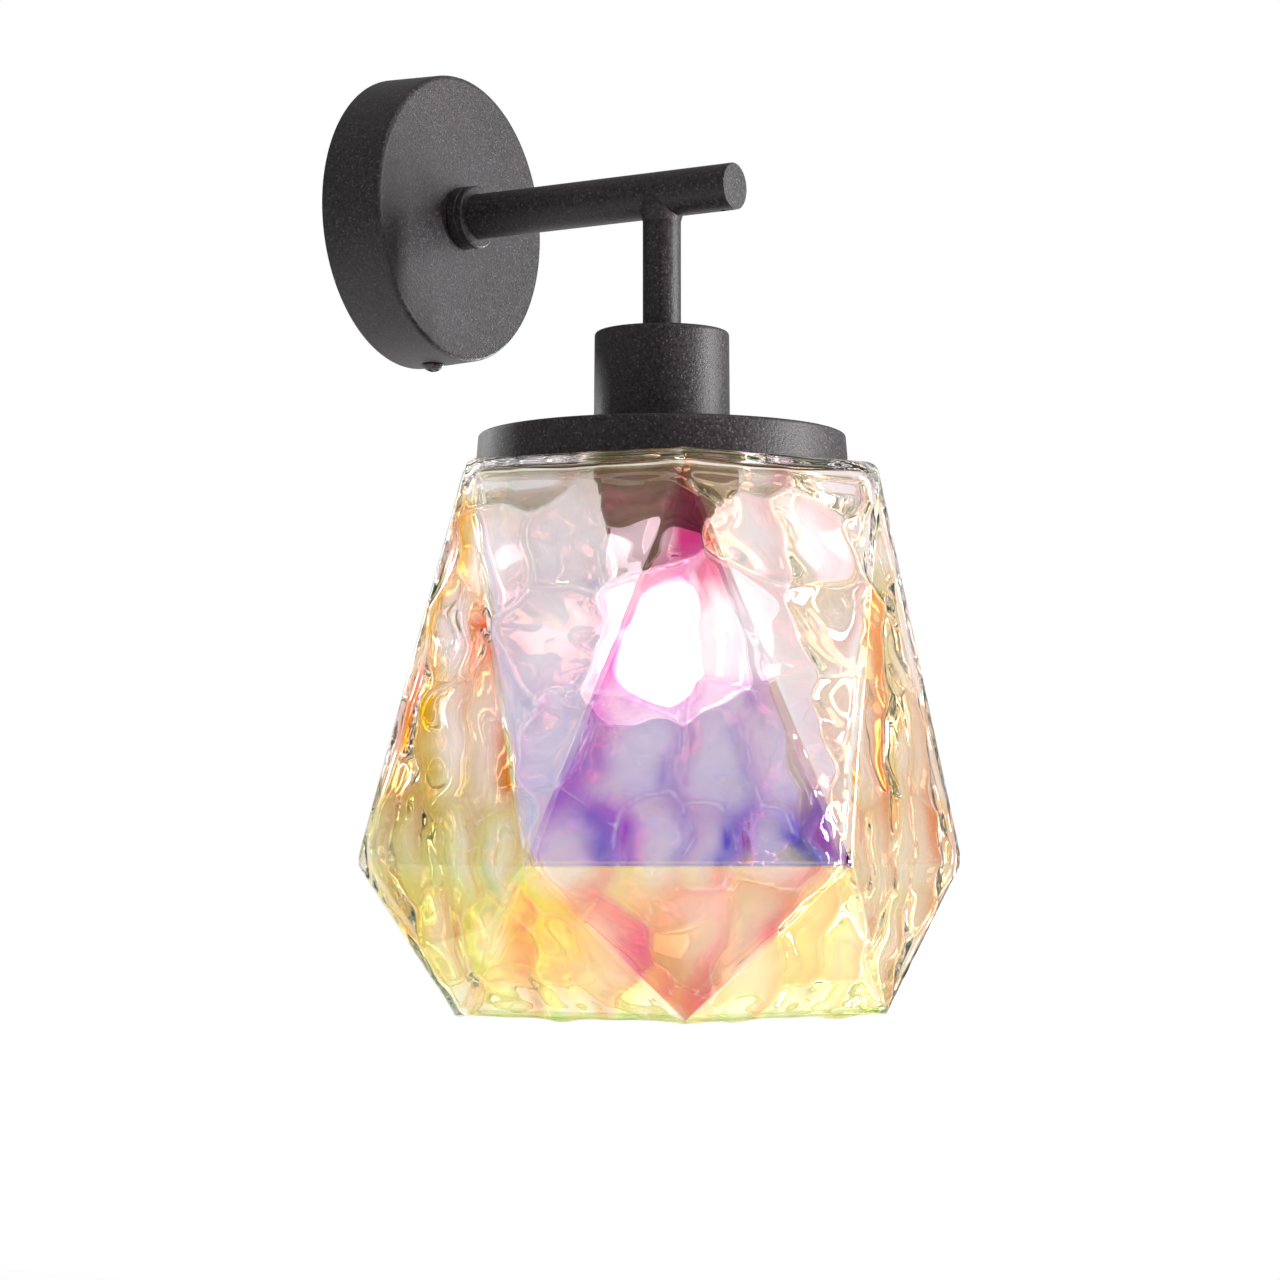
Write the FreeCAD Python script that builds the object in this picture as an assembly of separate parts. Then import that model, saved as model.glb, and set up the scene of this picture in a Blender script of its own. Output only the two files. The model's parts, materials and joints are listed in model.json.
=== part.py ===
"""Wall sconce with one faceted glass shade hung under a straight arm.

Millimetres, +Z up. The wall is the plane y = 0 and the light stands out towards -Y.
The origin is the centre of the canopy's back face. Screw threads are plain cylinders,
except the two that a hand turns, which are drawn as rings of the true pitch.
"""
import FreeCAD, Part
import math
import os

Vector = FreeCAD.Vector

# ---- driving dimensions -------------------------------------------------------------
# Fits
FIT = 0.05                      # radial clearance of pieces pressed or screwed together
TURNING_GAP = 0.30              # radial clearance of pieces that a hand turns
HOLE_CLEARANCE = 0.60           # radial clearance of a hole that something drops through

# Canopy, the pan against the wall
CANOPY_RADIUS = 50.0            # at the front edge
CANOPY_FLARE = 1.0              # the back edge is this much larger in radius
CANOPY_DEPTH = 23.2
CANOPY_SHEET = 1.2
CANOPY_EDGE_RADIUS = 2.0

# Wall bracket, a vertical strap with bent ears
BRACKET_SHEET = 1.5
BRACKET_WIDTH = 26.0
BRACKET_BEND_RADIUS = 1.0
BRACKET_GAP = 0.4               # ear to the inside of the canopy
EAR_WIDTH = 12.0
EAR_LENGTH = 16.0
WALL_SLOT_SPACING = 60.0
WALL_SLOT_LENGTH = 12.0
WALL_SLOT_WIDTH = 5.0
CABLE_HOLE_RADIUS = 7.0
SHELF_LENGTH = 22.0             # the tab that carries the terminal block
SHELF_HEIGHT = 26.0

# Screws
SCREW_RADIUS = 2.0
SCREW_HEAD_RADIUS = 3.9
SCREW_HEAD_HEIGHT = 2.4
SCREW_SLOT_WIDTH = 0.9
SCREW_SLOT_DEPTH = 1.1
CANOPY_SCREW_LENGTH = 7.0
CANOPY_SCREW_DEPTH = 10.4       # from the wall to the screw in the canopy's rim
EARTH_SCREW_HEIGHT = 15.5       # above the middle of the strap
EARTH_SCREW_LENGTH = 5.0
EARTH_WASHER_RADIUS = 4.5
EARTH_WASHER_SHEET = 0.8

# Terminal block
BLOCK_LENGTH = 19.0             # along X, the way the wires go in
BLOCK_WIDTH = 20.0              # along Z, across the two poles
BLOCK_HEIGHT = 13.0             # out from the wall
POLE_SPACING = 10.0
BARREL_RADIUS = 2.6
BARREL_BORE = 1.5
CLAMP_SCREW_RADIUS = 1.3
CLAMP_SCREW_INSET = 4.5         # from the block's end to its clamp screws
FIXING_HEAD_RADIUS = 2.2        # screw between the poles that holds the block

# Arm
ARM_RADIUS = 7.85
ARM_SHEET = 1.2
ARM_REACH = 133.2               # wall to the arm's tip
ARM_CAP_THICKNESS = 1.5
ARM_CAP_SPIGOT = 4.0
VENT_RADIUS = 1.1
VENT_INSET = 4.5                # from the arm's tip
COLLAR_RADIUS = 10.9
COLLAR_LENGTH = 6.6
COLLAR_FLOOR = 1.6
COLLAR_CHAMFER = 0.6
COLLAR_GROOVE = 0.3

# Hollow threaded tube and its fittings
NIPPLE_RADIUS = 5.0
NIPPLE_BORE = 3.7
INSERT_LENGTH = 10.0            # how far the threaded tube goes into arm and stem
LOCK_NUT_FLATS = 14.0
LOCK_NUT_THICKNESS = 3.0
LOCK_WASHER_RADIUS = 8.5
LOCK_WASHER_SHEET = 0.8
LOCK_WASHER_TEETH = 12
NIPPLE_STAND_OUT = 2.0

# Stem
STEM_REACH = 104.6              # wall to the middle of the stem
STEM_RADIUS = 6.45
STEM_LENGTH = 46.8              # arm axis to the cup's top
WELD_SIZE = 1.4

# Cup over the lamp holder
CUP_RADIUS = 22.65              # at the top; it widens a little downwards
CUP_FLARE = 0.25
CUP_HEIGHT = 35.1
CUP_SHEET = 1.2
CUP_EDGE_RADIUS = 1.4

# Plate on top of the shade
PLATE_RADIUS = 61.6             # at its top edge
PLATE_FLARE = 1.0
PLATE_HEIGHT = 12.1
PLATE_SHEET = 1.5
PLATE_EDGE_RADIUS = 1.2
PLATE_COLLAR_HEIGHT = 4.0
PLATE_COLLAR_FIT = 0.2

# Lamp holder, size E27
HOLDER_RADIUS = 19.8            # crest of the sleeve's thread
HOLDER_WALL = 2.4
HOLDER_DROP = 20.4              # sleeve's foot below the plate
HOLDER_CAP_HEIGHT = 19.0
HOLDER_CAP_TOP = 3.0
SLEEVE_OVERLAP = 5.0            # sleeve reaches this far up inside the cap
SLEEVE_THREAD_PITCH = 2.5
SLEEVE_THREAD_DEPTH = 0.5
SLEEVE_MOUTH_RADIUS = 17.0      # round the lamp's neck
SLEEVE_LEDGE = 1.5
CARRIER_HEIGHT = 12.0
CARRIER_TOP_SPACE = 12.0        # room for the wires between the cap's top and the carrier
TERMINAL_RADIUS = 2.4
TERMINAL_HEIGHT = 4.5
TERMINAL_SPREAD = 9.0           # axis to each terminal
TONGUE_WIDTH = 6.0
TONGUE_SHEET = 0.5
SHELL_SHEET = 0.5
SHELL_LENGTH = 25.0
LAMP_THREAD_PITCH = 3.63
LAMP_THREAD_DEPTH = 0.85
LAMP_THREAD_RADIUS = 13.1       # crest of the lamp cap's thread

# Ring that holds the shade
RING_RADIUS = 24.2
RING_HEIGHT = 10.0
RING_WALL = 3.0
RING_FLANGE = 2.5               # smooth rim that bears on the gasket
RING_RIBS = 24
RIB_RADIUS = 0.8
GASKET_THICKNESS = 1.0

# Shade
SHADE_SIDES = 6
SHADE_TURN = 36.6               # degrees from +X to the first top corner
SHADE_FLAT_RADIUS = 73.0        # corner radius of the flat top
SHADE_SHOULDER_RADIUS = 78.2
SHADE_SHOULDER_DROP = 5.0
SHADE_GIRDLE_RADIUS = 101.5
SHADE_GIRDLE_DROP = 130.8
SHADE_RIM_RADIUS = 79.6
SHADE_HEIGHT = 180.2
SHADE_WALL = 3.6

# Lamp, pear-shaped
LAMP_LENGTH = 105.0
LAMP_RADIUS = 29.4
LAMP_GLASS = 0.9
LAMP_NECK_RADIUS = 14.2
LAMP_NECK_LENGTH = 9.0          # straight neck below the metal cap
LAMP_CAP_LENGTH = 23.0
LAMP_CAP_SHEET = 0.4
LAMP_CAP_NECK = 8.2             # radius of the cap's crown round the insulator
LAMP_SEAL = 2.0                 # glass held inside the cap
LAMP_INSULATOR_HEIGHT = 3.0
LAMP_CONTACT_RADIUS = 4.4
LAMP_CONTACT_HEIGHT = 1.2
MOUNT_RADIUS = 5.0
MOUNT_LENGTH = 26.0
FILAMENT_COUNT = 4
FILAMENT_RADIUS = 0.9
FILAMENT_LENGTH = 28.0
FILAMENT_TOP_SPREAD = 3.4
FILAMENT_FOOT_SPREAD = 9.0

# Wires
WIRE_RADIUS = 1.1
WIRE_SPREAD = 1.7               # axis to each wire inside the tubes
WIRE_BEND = 10.0
WIRE_SMALL_BEND = 4.0
WIRE_INSERTION = 3.0            # bared end inside a terminal

# ---- places that follow from them --------------------------------------------------
CUP_TOP = -STEM_LENGTH
PLATE_TOP = CUP_TOP - CUP_HEIGHT
SHADE_TOP = PLATE_TOP - PLATE_HEIGHT
GASKET_TOP = SHADE_TOP - SHADE_WALL
RING_TOP = GASKET_TOP - GASKET_THICKNESS
HOLDER_TOP = CUP_TOP - CUP_SHEET
HOLDER_FOOT = SHADE_TOP - HOLDER_DROP
CARRIER_TOP = HOLDER_TOP - HOLDER_CAP_TOP - CARRIER_TOP_SPACE
CARRIER_FOOT = CARRIER_TOP - CARRIER_HEIGHT
SHELL_TOP = CARRIER_FOOT
LAMP_TOP = CARRIER_FOOT - 3 * TONGUE_SHEET
LAMP_CAP_TOP = LAMP_TOP - LAMP_CONTACT_HEIGHT - LAMP_INSULATOR_HEIGHT
LAMP_GLASS_TOP = LAMP_CAP_TOP - LAMP_CAP_LENGTH
LAMP_FOOT = LAMP_TOP - LAMP_LENGTH
HOLE_IN_PLATE = HOLDER_RADIUS + HOLE_CLEARANCE
COLLAR_FACE = CANOPY_DEPTH + COLLAR_FLOOR
ARM_BORE = ARM_RADIUS - ARM_SHEET
STEM_BORE = NIPPLE_RADIUS + FIT      # the stem itself is tapped for the threaded tube
CANOPY_INSIDE = CANOPY_RADIUS - CANOPY_SHEET
EAR_HEIGHT = CANOPY_INSIDE - BRACKET_GAP
BLOCK_START = BRACKET_WIDTH / 2 + 1.5
POLE_DEPTH = BRACKET_SHEET + BLOCK_HEIGHT / 2


# ---- helpers -----------------------------------------------------------------------
def rounded_path(points, radii, closed):
    """Straight runs joined by tangent arcs; radii holds one radius for each point."""
    count = len(points)
    starts = []
    ends = []
    arcs = []
    for i, corner in enumerate(points):
        radius = radii[i]
        at_end = not closed and i in (0, count - 1)
        if radius <= 0 or at_end:
            starts.append(corner)
            ends.append(corner)
            arcs.append(None)
            continue
        back = (points[i - 1] - corner).normalize()
        ahead = (points[(i + 1) % count] - corner).normalize()
        half = back.getAngle(ahead) / 2
        setback = radius / math.tan(half)
        middle = (back + ahead).normalize() * (radius / math.sin(half) - radius)
        starts.append(corner + back * setback)
        ends.append(corner + ahead * setback)
        arcs.append(corner + middle)
    edges = []
    for i in range(count):
        if arcs[i] is not None:
            edges.append(Part.Arc(starts[i], arcs[i], ends[i]).toShape())
        last = i == count - 1
        if last and not closed:
            break
        following = starts[(i + 1) % count]
        if ends[i].distanceToPoint(following) > 1e-6:
            edges.append(Part.LineSegment(ends[i], following).toShape())
    return edges


def profile_edges(corners):
    """Closed outline in the XZ plane from (radius, height) or (radius, height, rounding)."""
    points = [Vector(corner[0], 0, corner[1]) for corner in corners]
    radii = [corner[2] if len(corner) > 2 else 0 for corner in corners]
    return rounded_path(points, radii, True)


def turned_edges(edges):
    """Solid of revolution about Z from a closed outline in the XZ plane."""
    face = Part.Face(Part.Wire(edges))
    return face.revolve(Vector(0, 0, 0), Vector(0, 0, 1), 360)


def turned(corners):
    """Solid of revolution about Z from corners, each with its own rounding."""
    return turned_edges(profile_edges(corners))


def rod(radius, start, end):
    """Round bar about Z between two heights, in either order."""
    low = min(start, end)
    return Part.makeCylinder(radius, abs(end - start), Vector(0, 0, low))


def pipe(outer, inner, start, end):
    """Round tube about Z between two heights."""
    low = min(start, end)
    high = max(start, end)
    return turned([(inner, low), (outer, low), (outer, high), (inner, high)])


def from_wall(shape):
    """Stand a shape made about Z on the wall: its height becomes distance out."""
    shape.rotate(Vector(0, 0, 0), Vector(1, 0, 0), 90)
    return shape


def under_arm(shape):
    """Carry a shape made about Z to the stem's axis."""
    shape.translate(Vector(0, -STEM_REACH, 0))
    return shape


def box(x_range, y_range, z_range):
    """Block between two corners."""
    size = [high - low for low, high in (x_range, y_range, z_range)]
    return Part.makeBox(*size, Vector(x_range[0], y_range[0], z_range[0]))


def thread_edges(crest, depth, pitch, start, end):
    """Wavy line of rings in the XZ plane, from start down to end, whole pitches only."""
    turns = int((start - end) / pitch)
    middle = crest - depth / 2
    edges = []
    height = start
    for _ in range(turns):
        points = [Vector(middle + depth / 2 * side, 0, height - pitch * part)
                  for side, part in ((0, 0), (1, 0.25), (0, 0.5), (-1, 0.75), (0, 1))]
        edges.append(Part.Arc(points[0], points[1], points[2]).toShape())
        edges.append(Part.Arc(points[2], points[3], points[4]).toShape())
        height -= pitch
    return edges, middle, height


def polyline(pairs):
    """Open run of straight edges through (radius, height) pairs in the XZ plane."""
    points = [Vector(radius, 0, height) for radius, height in pairs]
    return [Part.LineSegment(a, b).toShape() for a, b in zip(points, points[1:])]


def cable(points, bends, radius):
    """Round wire along straight runs and tangent arcs."""
    path = Part.Wire(rounded_path(points, bends, False))
    direction = points[1] - points[0]
    section = Part.Wire(Part.makeCircle(radius, points[0], direction))
    return path.makePipeShell([section], True, False)


def cross_screw(length, radius, head_radius, head_height):
    """Round-headed screw about Z with a cross recess; the head's seat is at height 0."""
    sphere_radius = (head_radius ** 2 + head_height ** 2) / (2 * head_height)
    head = Part.makeSphere(sphere_radius, Vector(0, 0, head_height - sphere_radius))
    head = head.common(rod(head_radius, 0, head_height))
    half = SCREW_SLOT_WIDTH / 2
    reach = head_radius * 0.6
    depth = (head_height - SCREW_SLOT_DEPTH, head_height + 1)
    cross = box((-half, half), (-reach, reach), depth)
    cross = cross.fuse(box((-reach, reach), (-half, half), depth))
    screw = head.fuse(rod(radius, 0, -length)).cut(cross)
    return screw.removeSplitter()


def save(name, shape):
    """Write one node; a list of separate solids becomes one group."""
    if isinstance(shape, list):
        shape = Part.makeCompound(shape)
    count = len(shape.Solids)
    print(f"{name:22s} solids {count} volume {shape.Volume:10.1f} valid {shape.isValid()}")
    shape.exportStep(f"parts/{name}.step")


# ---- on the wall --------------------------------------------------------------------
def make_canopy():
    """Pressed pan with a rounded front edge and a hole for the arm's threaded tube."""
    back = CANOPY_RADIUS + CANOPY_FLARE
    front = CANOPY_DEPTH
    inner_front = front - CANOPY_SHEET
    inner_edge = max(CANOPY_EDGE_RADIUS - CANOPY_SHEET, 0.2)
    hole = NIPPLE_RADIUS + FIT
    pan = from_wall(turned([
        (hole, inner_front),
        (CANOPY_INSIDE, inner_front, inner_edge),
        (back - CANOPY_SHEET, 0),
        (back, 0),
        (CANOPY_RADIUS, front, CANOPY_EDGE_RADIUS),
        (hole, front),
    ]))
    screw_hole = rod(SCREW_RADIUS + FIT, 0, -2 * CANOPY_RADIUS)
    screw_hole.translate(Vector(0, -CANOPY_SCREW_DEPTH, 0))
    peg_hole = rod(SCREW_RADIUS + HOLE_CLEARANCE / 2, 0, 2 * CANOPY_RADIUS)
    peg_hole.translate(Vector(0, -CANOPY_SCREW_DEPTH, 0))
    return pan.cut(screw_hole).cut(peg_hole)


def make_bracket():
    """Strap against the wall with two bent ears, a peg, slots and the block's shelf."""
    sheet = BRACKET_SHEET
    outer_bend = BRACKET_BEND_RADIUS + sheet
    points = [(-EAR_LENGTH, EAR_HEIGHT, 0), (0, EAR_HEIGHT, outer_bend),
              (0, -EAR_HEIGHT, outer_bend), (-EAR_LENGTH, -EAR_HEIGHT, 0),
              (-EAR_LENGTH, -EAR_HEIGHT + sheet, 0),
              (-sheet, -EAR_HEIGHT + sheet, BRACKET_BEND_RADIUS),
              (-sheet, EAR_HEIGHT - sheet, BRACKET_BEND_RADIUS),
              (-EAR_LENGTH, EAR_HEIGHT - sheet, 0)]
    corners = [Vector(0, y, z) for y, z, _ in points]
    outline = Part.Wire(rounded_path(corners, [radius for _, _, radius in points], True))
    ears = Part.Face(outline).extrude(Vector(EAR_WIDTH, 0, 0))
    ears.translate(Vector(-EAR_WIDTH / 2, 0, 0))
    shoulder = WALL_SLOT_SPACING / 2 + WALL_SLOT_LENGTH / 2 + sheet
    plate = box((-BRACKET_WIDTH / 2, BRACKET_WIDTH / 2), (-sheet, 0), (-shoulder, shoulder))
    shelf_end = BLOCK_START + SHELF_LENGTH
    shelf = box((0, shelf_end), (-sheet, 0), (-SHELF_HEIGHT / 2, SHELF_HEIGHT / 2))
    bracket = ears.fuse([plate, shelf])
    half_run = (WALL_SLOT_LENGTH - WALL_SLOT_WIDTH) / 2
    radius = WALL_SLOT_WIDTH / 2
    cuts = [from_wall(rod(CABLE_HOLE_RADIUS, -1, sheet + 1))]
    for side in (-1, 1):
        middle = side * WALL_SLOT_SPACING / 2
        cuts.append(box((-radius, radius), (-sheet - 1, 1), (middle - half_run, middle + half_run)))
        for end in (-half_run, half_run):
            hole = from_wall(rod(radius, -1, sheet + 1))
            hole.translate(Vector(0, 0, middle + end))
            cuts.append(hole)
    thread = rod(SCREW_RADIUS + FIT, -CANOPY_RADIUS, -EAR_HEIGHT / 2)
    thread.translate(Vector(0, -CANOPY_SCREW_DEPTH, 0))
    cuts.append(thread)
    for x, z, hole_radius in ((0, EARTH_SCREW_HEIGHT, SCREW_RADIUS),
                              (block_middle(), 0, CLAMP_SCREW_RADIUS)):
        hole = from_wall(rod(hole_radius + FIT, -1, sheet + 1))
        hole.translate(Vector(x, 0, z))
        cuts.append(hole)
    peg = rod(SCREW_RADIUS, EAR_HEIGHT - sheet / 2, CANOPY_RADIUS)
    peg.translate(Vector(0, -CANOPY_SCREW_DEPTH, 0))
    return bracket.cut(cuts).fuse(peg).removeSplitter()


def block_middle():
    """Where the terminal block's middle lies along X."""
    return BLOCK_START + BLOCK_LENGTH / 2


def make_canopy_screw():
    """Round-headed screw up through the canopy's rim into the lower ear."""
    screw = cross_screw(CANOPY_SCREW_LENGTH, SCREW_RADIUS, SCREW_HEAD_RADIUS, SCREW_HEAD_HEIGHT)
    screw.rotate(Vector(0, 0, 0), Vector(1, 0, 0), 180)
    widest = CANOPY_SCREW_DEPTH - SCREW_HEAD_RADIUS
    rim = CANOPY_RADIUS + CANOPY_FLARE * (1 - widest / CANOPY_DEPTH)
    screw.translate(Vector(0, -CANOPY_SCREW_DEPTH, -rim - FIT))
    return screw


def make_earth_parts():
    """Earth screw in the strap and the washer that traps the wire."""
    washer = from_wall(pipe(EARTH_WASHER_RADIUS, SCREW_RADIUS + FIT, BRACKET_SHEET,
                            BRACKET_SHEET + EARTH_WASHER_SHEET))
    screw = cross_screw(EARTH_SCREW_LENGTH - BRACKET_SHEET, SCREW_RADIUS,
                        SCREW_HEAD_RADIUS, SCREW_HEAD_HEIGHT)
    screw = screw.cut(rod(2 * SCREW_RADIUS, -BRACKET_SHEET - EARTH_WASHER_SHEET,
                          -EARTH_SCREW_LENGTH - 1))
    screw = from_wall(screw)
    screw.translate(Vector(0, -BRACKET_SHEET - EARTH_WASHER_SHEET, 0))
    for shape in (screw, washer):
        shape.translate(Vector(0, 0, EARTH_SCREW_HEIGHT))
    return screw, washer


def make_terminal_parts():
    """Two-pole block with its brass barrels, clamp screws and fixing screw."""
    start = BLOCK_START
    end = BLOCK_START + BLOCK_LENGTH
    back = -BRACKET_SHEET
    front = back - BLOCK_HEIGHT
    half = BLOCK_WIDTH / 2
    block = box((start, end), (front, back), (-half, half))
    edges = [edge for edge in block.Edges
             if abs(edge.CenterOfMass.y - front) < 1e-6]
    block = block.makeFillet(1.0, edges)
    barrels = []
    clamps = []
    cuts = []
    for side in (-1, 1):
        z = side * POLE_SPACING / 2
        place = Vector(start, -POLE_DEPTH, z)
        along = Vector(1, 0, 0)
        cuts.append(Part.makeCylinder(BARREL_RADIUS + FIT, BLOCK_LENGTH, place, along))
        barrel = Part.makeCylinder(BARREL_RADIUS, BLOCK_LENGTH - 2, place + along, along)
        bore = Part.makeCylinder(BARREL_BORE, BLOCK_LENGTH, place, along)
        screw_holes = []
        for x in (start + CLAMP_SCREW_INSET, end - CLAMP_SCREW_INSET):
            foot = Vector(x, -POLE_DEPTH - BARREL_BORE - FIT, z)
            out = Vector(0, -1, 0)
            length = -front - POLE_DEPTH - BARREL_BORE - 1.5
            screw = Part.makeCylinder(CLAMP_SCREW_RADIUS, length, foot, out)
            slot = box((x - 0.3, x + 0.3), (front, front + 2.2), (z - 2, z + 2))
            clamps.append(screw.cut(slot))
            hole = Part.makeCylinder(CLAMP_SCREW_RADIUS + FIT, BLOCK_HEIGHT,
                                     Vector(x, -POLE_DEPTH, z), out)
            screw_holes.append(hole)
        cuts.extend(screw_holes)
        barrels.append(barrel.cut(bore).cut(screw_holes))
    middle = block_middle()
    seat = BLOCK_HEIGHT / 2
    head = FIXING_HEAD_RADIUS
    fixing = from_wall(cross_screw(seat + BRACKET_SHEET, CLAMP_SCREW_RADIUS, head, head / 2))
    fixing.translate(Vector(middle, -BRACKET_SHEET - seat, 0))
    for radius, low in ((CLAMP_SCREW_RADIUS + FIT, 0), (head + FIT, seat)):
        hole = from_wall(rod(radius, low, BLOCK_HEIGHT + FIT))
        hole.translate(Vector(middle, -BRACKET_SHEET, 0))
        cuts.append(hole)
    return block.cut(cuts), barrels, clamps, fixing


# ---- arm and stem -------------------------------------------------------------------
def make_collar():
    """Ring between the canopy and the arm, with the arm's end seated in it."""
    base = CANOPY_DEPTH
    tip = base + COLLAR_LENGTH
    middle = base + COLLAR_LENGTH * 0.55
    groove = COLLAR_RADIUS - COLLAR_GROOVE
    chamfer = COLLAR_CHAMFER
    return from_wall(turned([
        (NIPPLE_RADIUS + FIT, base),
        (COLLAR_RADIUS - chamfer, base),
        (COLLAR_RADIUS, base + chamfer),
        (COLLAR_RADIUS, middle - COLLAR_GROOVE),
        (groove, middle),
        (COLLAR_RADIUS, middle + COLLAR_GROOVE),
        (COLLAR_RADIUS, tip - chamfer),
        (COLLAR_RADIUS - chamfer, tip),
        (ARM_RADIUS + FIT, tip),
        (ARM_RADIUS + FIT, COLLAR_FACE),
        (NIPPLE_RADIUS + FIT, COLLAR_FACE),
    ]))


def make_arm():
    """Straight tube with the stem's window underneath and a vent near the tip."""
    arm = from_wall(pipe(ARM_RADIUS, ARM_BORE, COLLAR_FACE, ARM_REACH - ARM_CAP_THICKNESS))
    window = under_arm(rod(STEM_BORE, 0, -2 * ARM_RADIUS))
    vent = rod(VENT_RADIUS, 0, -2 * ARM_RADIUS)
    vent.translate(Vector(0, -ARM_REACH + VENT_INSET, 0))
    return arm.cut(window).cut(vent)


def make_arm_cap():
    """End disc of the arm with a hollow spigot inside the tube."""
    tip = ARM_REACH
    seat = tip - ARM_CAP_THICKNESS
    spigot = ARM_BORE - FIT
    edge = 0.4
    cap = from_wall(turned([
        (0, seat), (spigot - ARM_SHEET, seat), (spigot - ARM_SHEET, seat - ARM_CAP_SPIGOT),
        (spigot, seat - ARM_CAP_SPIGOT), (spigot, seat), (ARM_RADIUS, seat),
        (ARM_RADIUS, tip, edge), (0, tip),
    ]))
    vent = rod(VENT_RADIUS, 0, -2 * ARM_RADIUS)
    vent.translate(Vector(0, -ARM_REACH + VENT_INSET, 0))
    return cap.cut(vent)


def make_arm_insert():
    """Plug inside the arm's root, bored for the hollow threaded tube."""
    return from_wall(pipe(ARM_BORE - FIT, NIPPLE_RADIUS + FIT, COLLAR_FACE, COLLAR_FACE + INSERT_LENGTH))


def make_arm_nipple():
    """Hollow threaded tube from the arm's plug to the inside of the canopy."""
    inside = CANOPY_DEPTH - CANOPY_SHEET - LOCK_WASHER_SHEET - LOCK_NUT_THICKNESS
    start = inside - NIPPLE_STAND_OUT
    return from_wall(pipe(NIPPLE_RADIUS, NIPPLE_BORE, start, COLLAR_FACE + INSERT_LENGTH))


def make_lock_washer():
    """Toothed washer under the lock nut."""
    top = CANOPY_DEPTH - CANOPY_SHEET
    washer = pipe(LOCK_WASHER_RADIUS, NIPPLE_RADIUS + FIT, top - LOCK_WASHER_SHEET, top)
    notches = []
    for i in range(LOCK_WASHER_TEETH):
        notch = box((LOCK_WASHER_RADIUS - 1.6, LOCK_WASHER_RADIUS + 1), (-0.6, 0.6), (top - 2, top + 2))
        notch.rotate(Vector(0, 0, 0), Vector(0, 0, 1), i * 360 / LOCK_WASHER_TEETH)
        notches.append(notch)
    return from_wall(washer.cut(notches))


def make_lock_nut():
    """Thin hexagon nut that draws the arm and its collar onto the canopy."""
    corner = LOCK_NUT_FLATS / 2 / math.cos(math.pi / 6)
    top = CANOPY_DEPTH - CANOPY_SHEET - LOCK_WASHER_SHEET
    points = [Vector(corner * math.cos(math.radians(60 * i)),
                     corner * math.sin(math.radians(60 * i)), top) for i in range(7)]
    nut = Part.Face(Part.makePolygon(points)).extrude(Vector(0, 0, -LOCK_NUT_THICKNESS))
    return from_wall(nut.cut(rod(NIPPLE_RADIUS + FIT, 0, CANOPY_DEPTH)))


def make_stem():
    """Tube saddled under the arm with a small weld bead around the joint."""
    stem = pipe(STEM_RADIUS, STEM_BORE, 0, CUP_TOP)
    bead_foot = -ARM_RADIUS - WELD_SIZE
    bead = Part.makeCone(STEM_RADIUS, STEM_RADIUS + 2 * WELD_SIZE, -bead_foot, Vector(0, 0, bead_foot))
    bead = bead.common(rod(STEM_RADIUS + WELD_SIZE, 0, bead_foot))
    bead = bead.cut(rod(STEM_BORE, 0, bead_foot))
    stem = under_arm(stem.fuse(bead))
    arm_space = from_wall(rod(ARM_RADIUS, 0, ARM_REACH))
    return stem.cut(arm_space).removeSplitter()


# ---- lamp holder and plate -----------------------------------------------------------
def make_cup():
    """Deep cup that hides the holder, clamped between the stem and the holder."""
    foot = CUP_TOP - CUP_HEIGHT
    ceiling = CUP_TOP - CUP_SHEET
    inside = CUP_RADIUS - CUP_SHEET
    hole = NIPPLE_RADIUS + FIT
    inner_edge = max(CUP_EDGE_RADIUS - CUP_SHEET, 0.2)
    return under_arm(turned([
        (hole, CUP_TOP), (CUP_RADIUS, CUP_TOP, CUP_EDGE_RADIUS), (CUP_RADIUS + CUP_FLARE, foot),
        (inside + CUP_FLARE, foot), (inside, ceiling, inner_edge), (hole, ceiling),
    ]))


def make_plate():
    """Dished plate on the shade, with a collar that centres it in the cup."""
    foot = PLATE_TOP - PLATE_HEIGHT
    collar = CUP_RADIUS - CUP_SHEET - PLATE_COLLAR_FIT
    under = PLATE_TOP - PLATE_SHEET
    flared = PLATE_RADIUS + PLATE_FLARE
    inner_edge = max(PLATE_EDGE_RADIUS - PLATE_SHEET, 0.3)
    return under_arm(turned([
        (HOLE_IN_PLATE, PLATE_TOP + PLATE_COLLAR_HEIGHT),
        (collar, PLATE_TOP + PLATE_COLLAR_HEIGHT),
        (collar, PLATE_TOP),
        (PLATE_RADIUS, PLATE_TOP, PLATE_EDGE_RADIUS),
        (flared, foot),
        (flared - PLATE_SHEET, foot),
        (PLATE_RADIUS - PLATE_SHEET, under, inner_edge),
        (HOLE_IN_PLATE, under),
    ]))


def make_stem_nipple():
    """Hollow threaded tube from the tapped stem down into the holder's cap."""
    return under_arm(pipe(NIPPLE_RADIUS, NIPPLE_BORE, CUP_TOP + INSERT_LENGTH,
                          HOLDER_TOP - HOLDER_CAP_TOP - NIPPLE_STAND_OUT))


def make_holder_cap():
    """Upper half of the holder, screwed onto the threaded tube."""
    foot = HOLDER_TOP - HOLDER_CAP_HEIGHT
    outer = HOLDER_RADIUS - SLEEVE_THREAD_DEPTH
    inner = outer - HOLDER_WALL
    under = HOLDER_TOP - HOLDER_CAP_TOP
    return under_arm(turned([
        (NIPPLE_RADIUS + FIT, HOLDER_TOP), (outer - 5, HOLDER_TOP, 2),
        (outer, HOLDER_TOP - 5, 2), (outer, foot), (inner, foot),
        (inner, HOLDER_TOP - 6.5, 1), (outer - 6.5, under, 1), (NIPPLE_RADIUS + FIT, under),
    ]))


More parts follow.
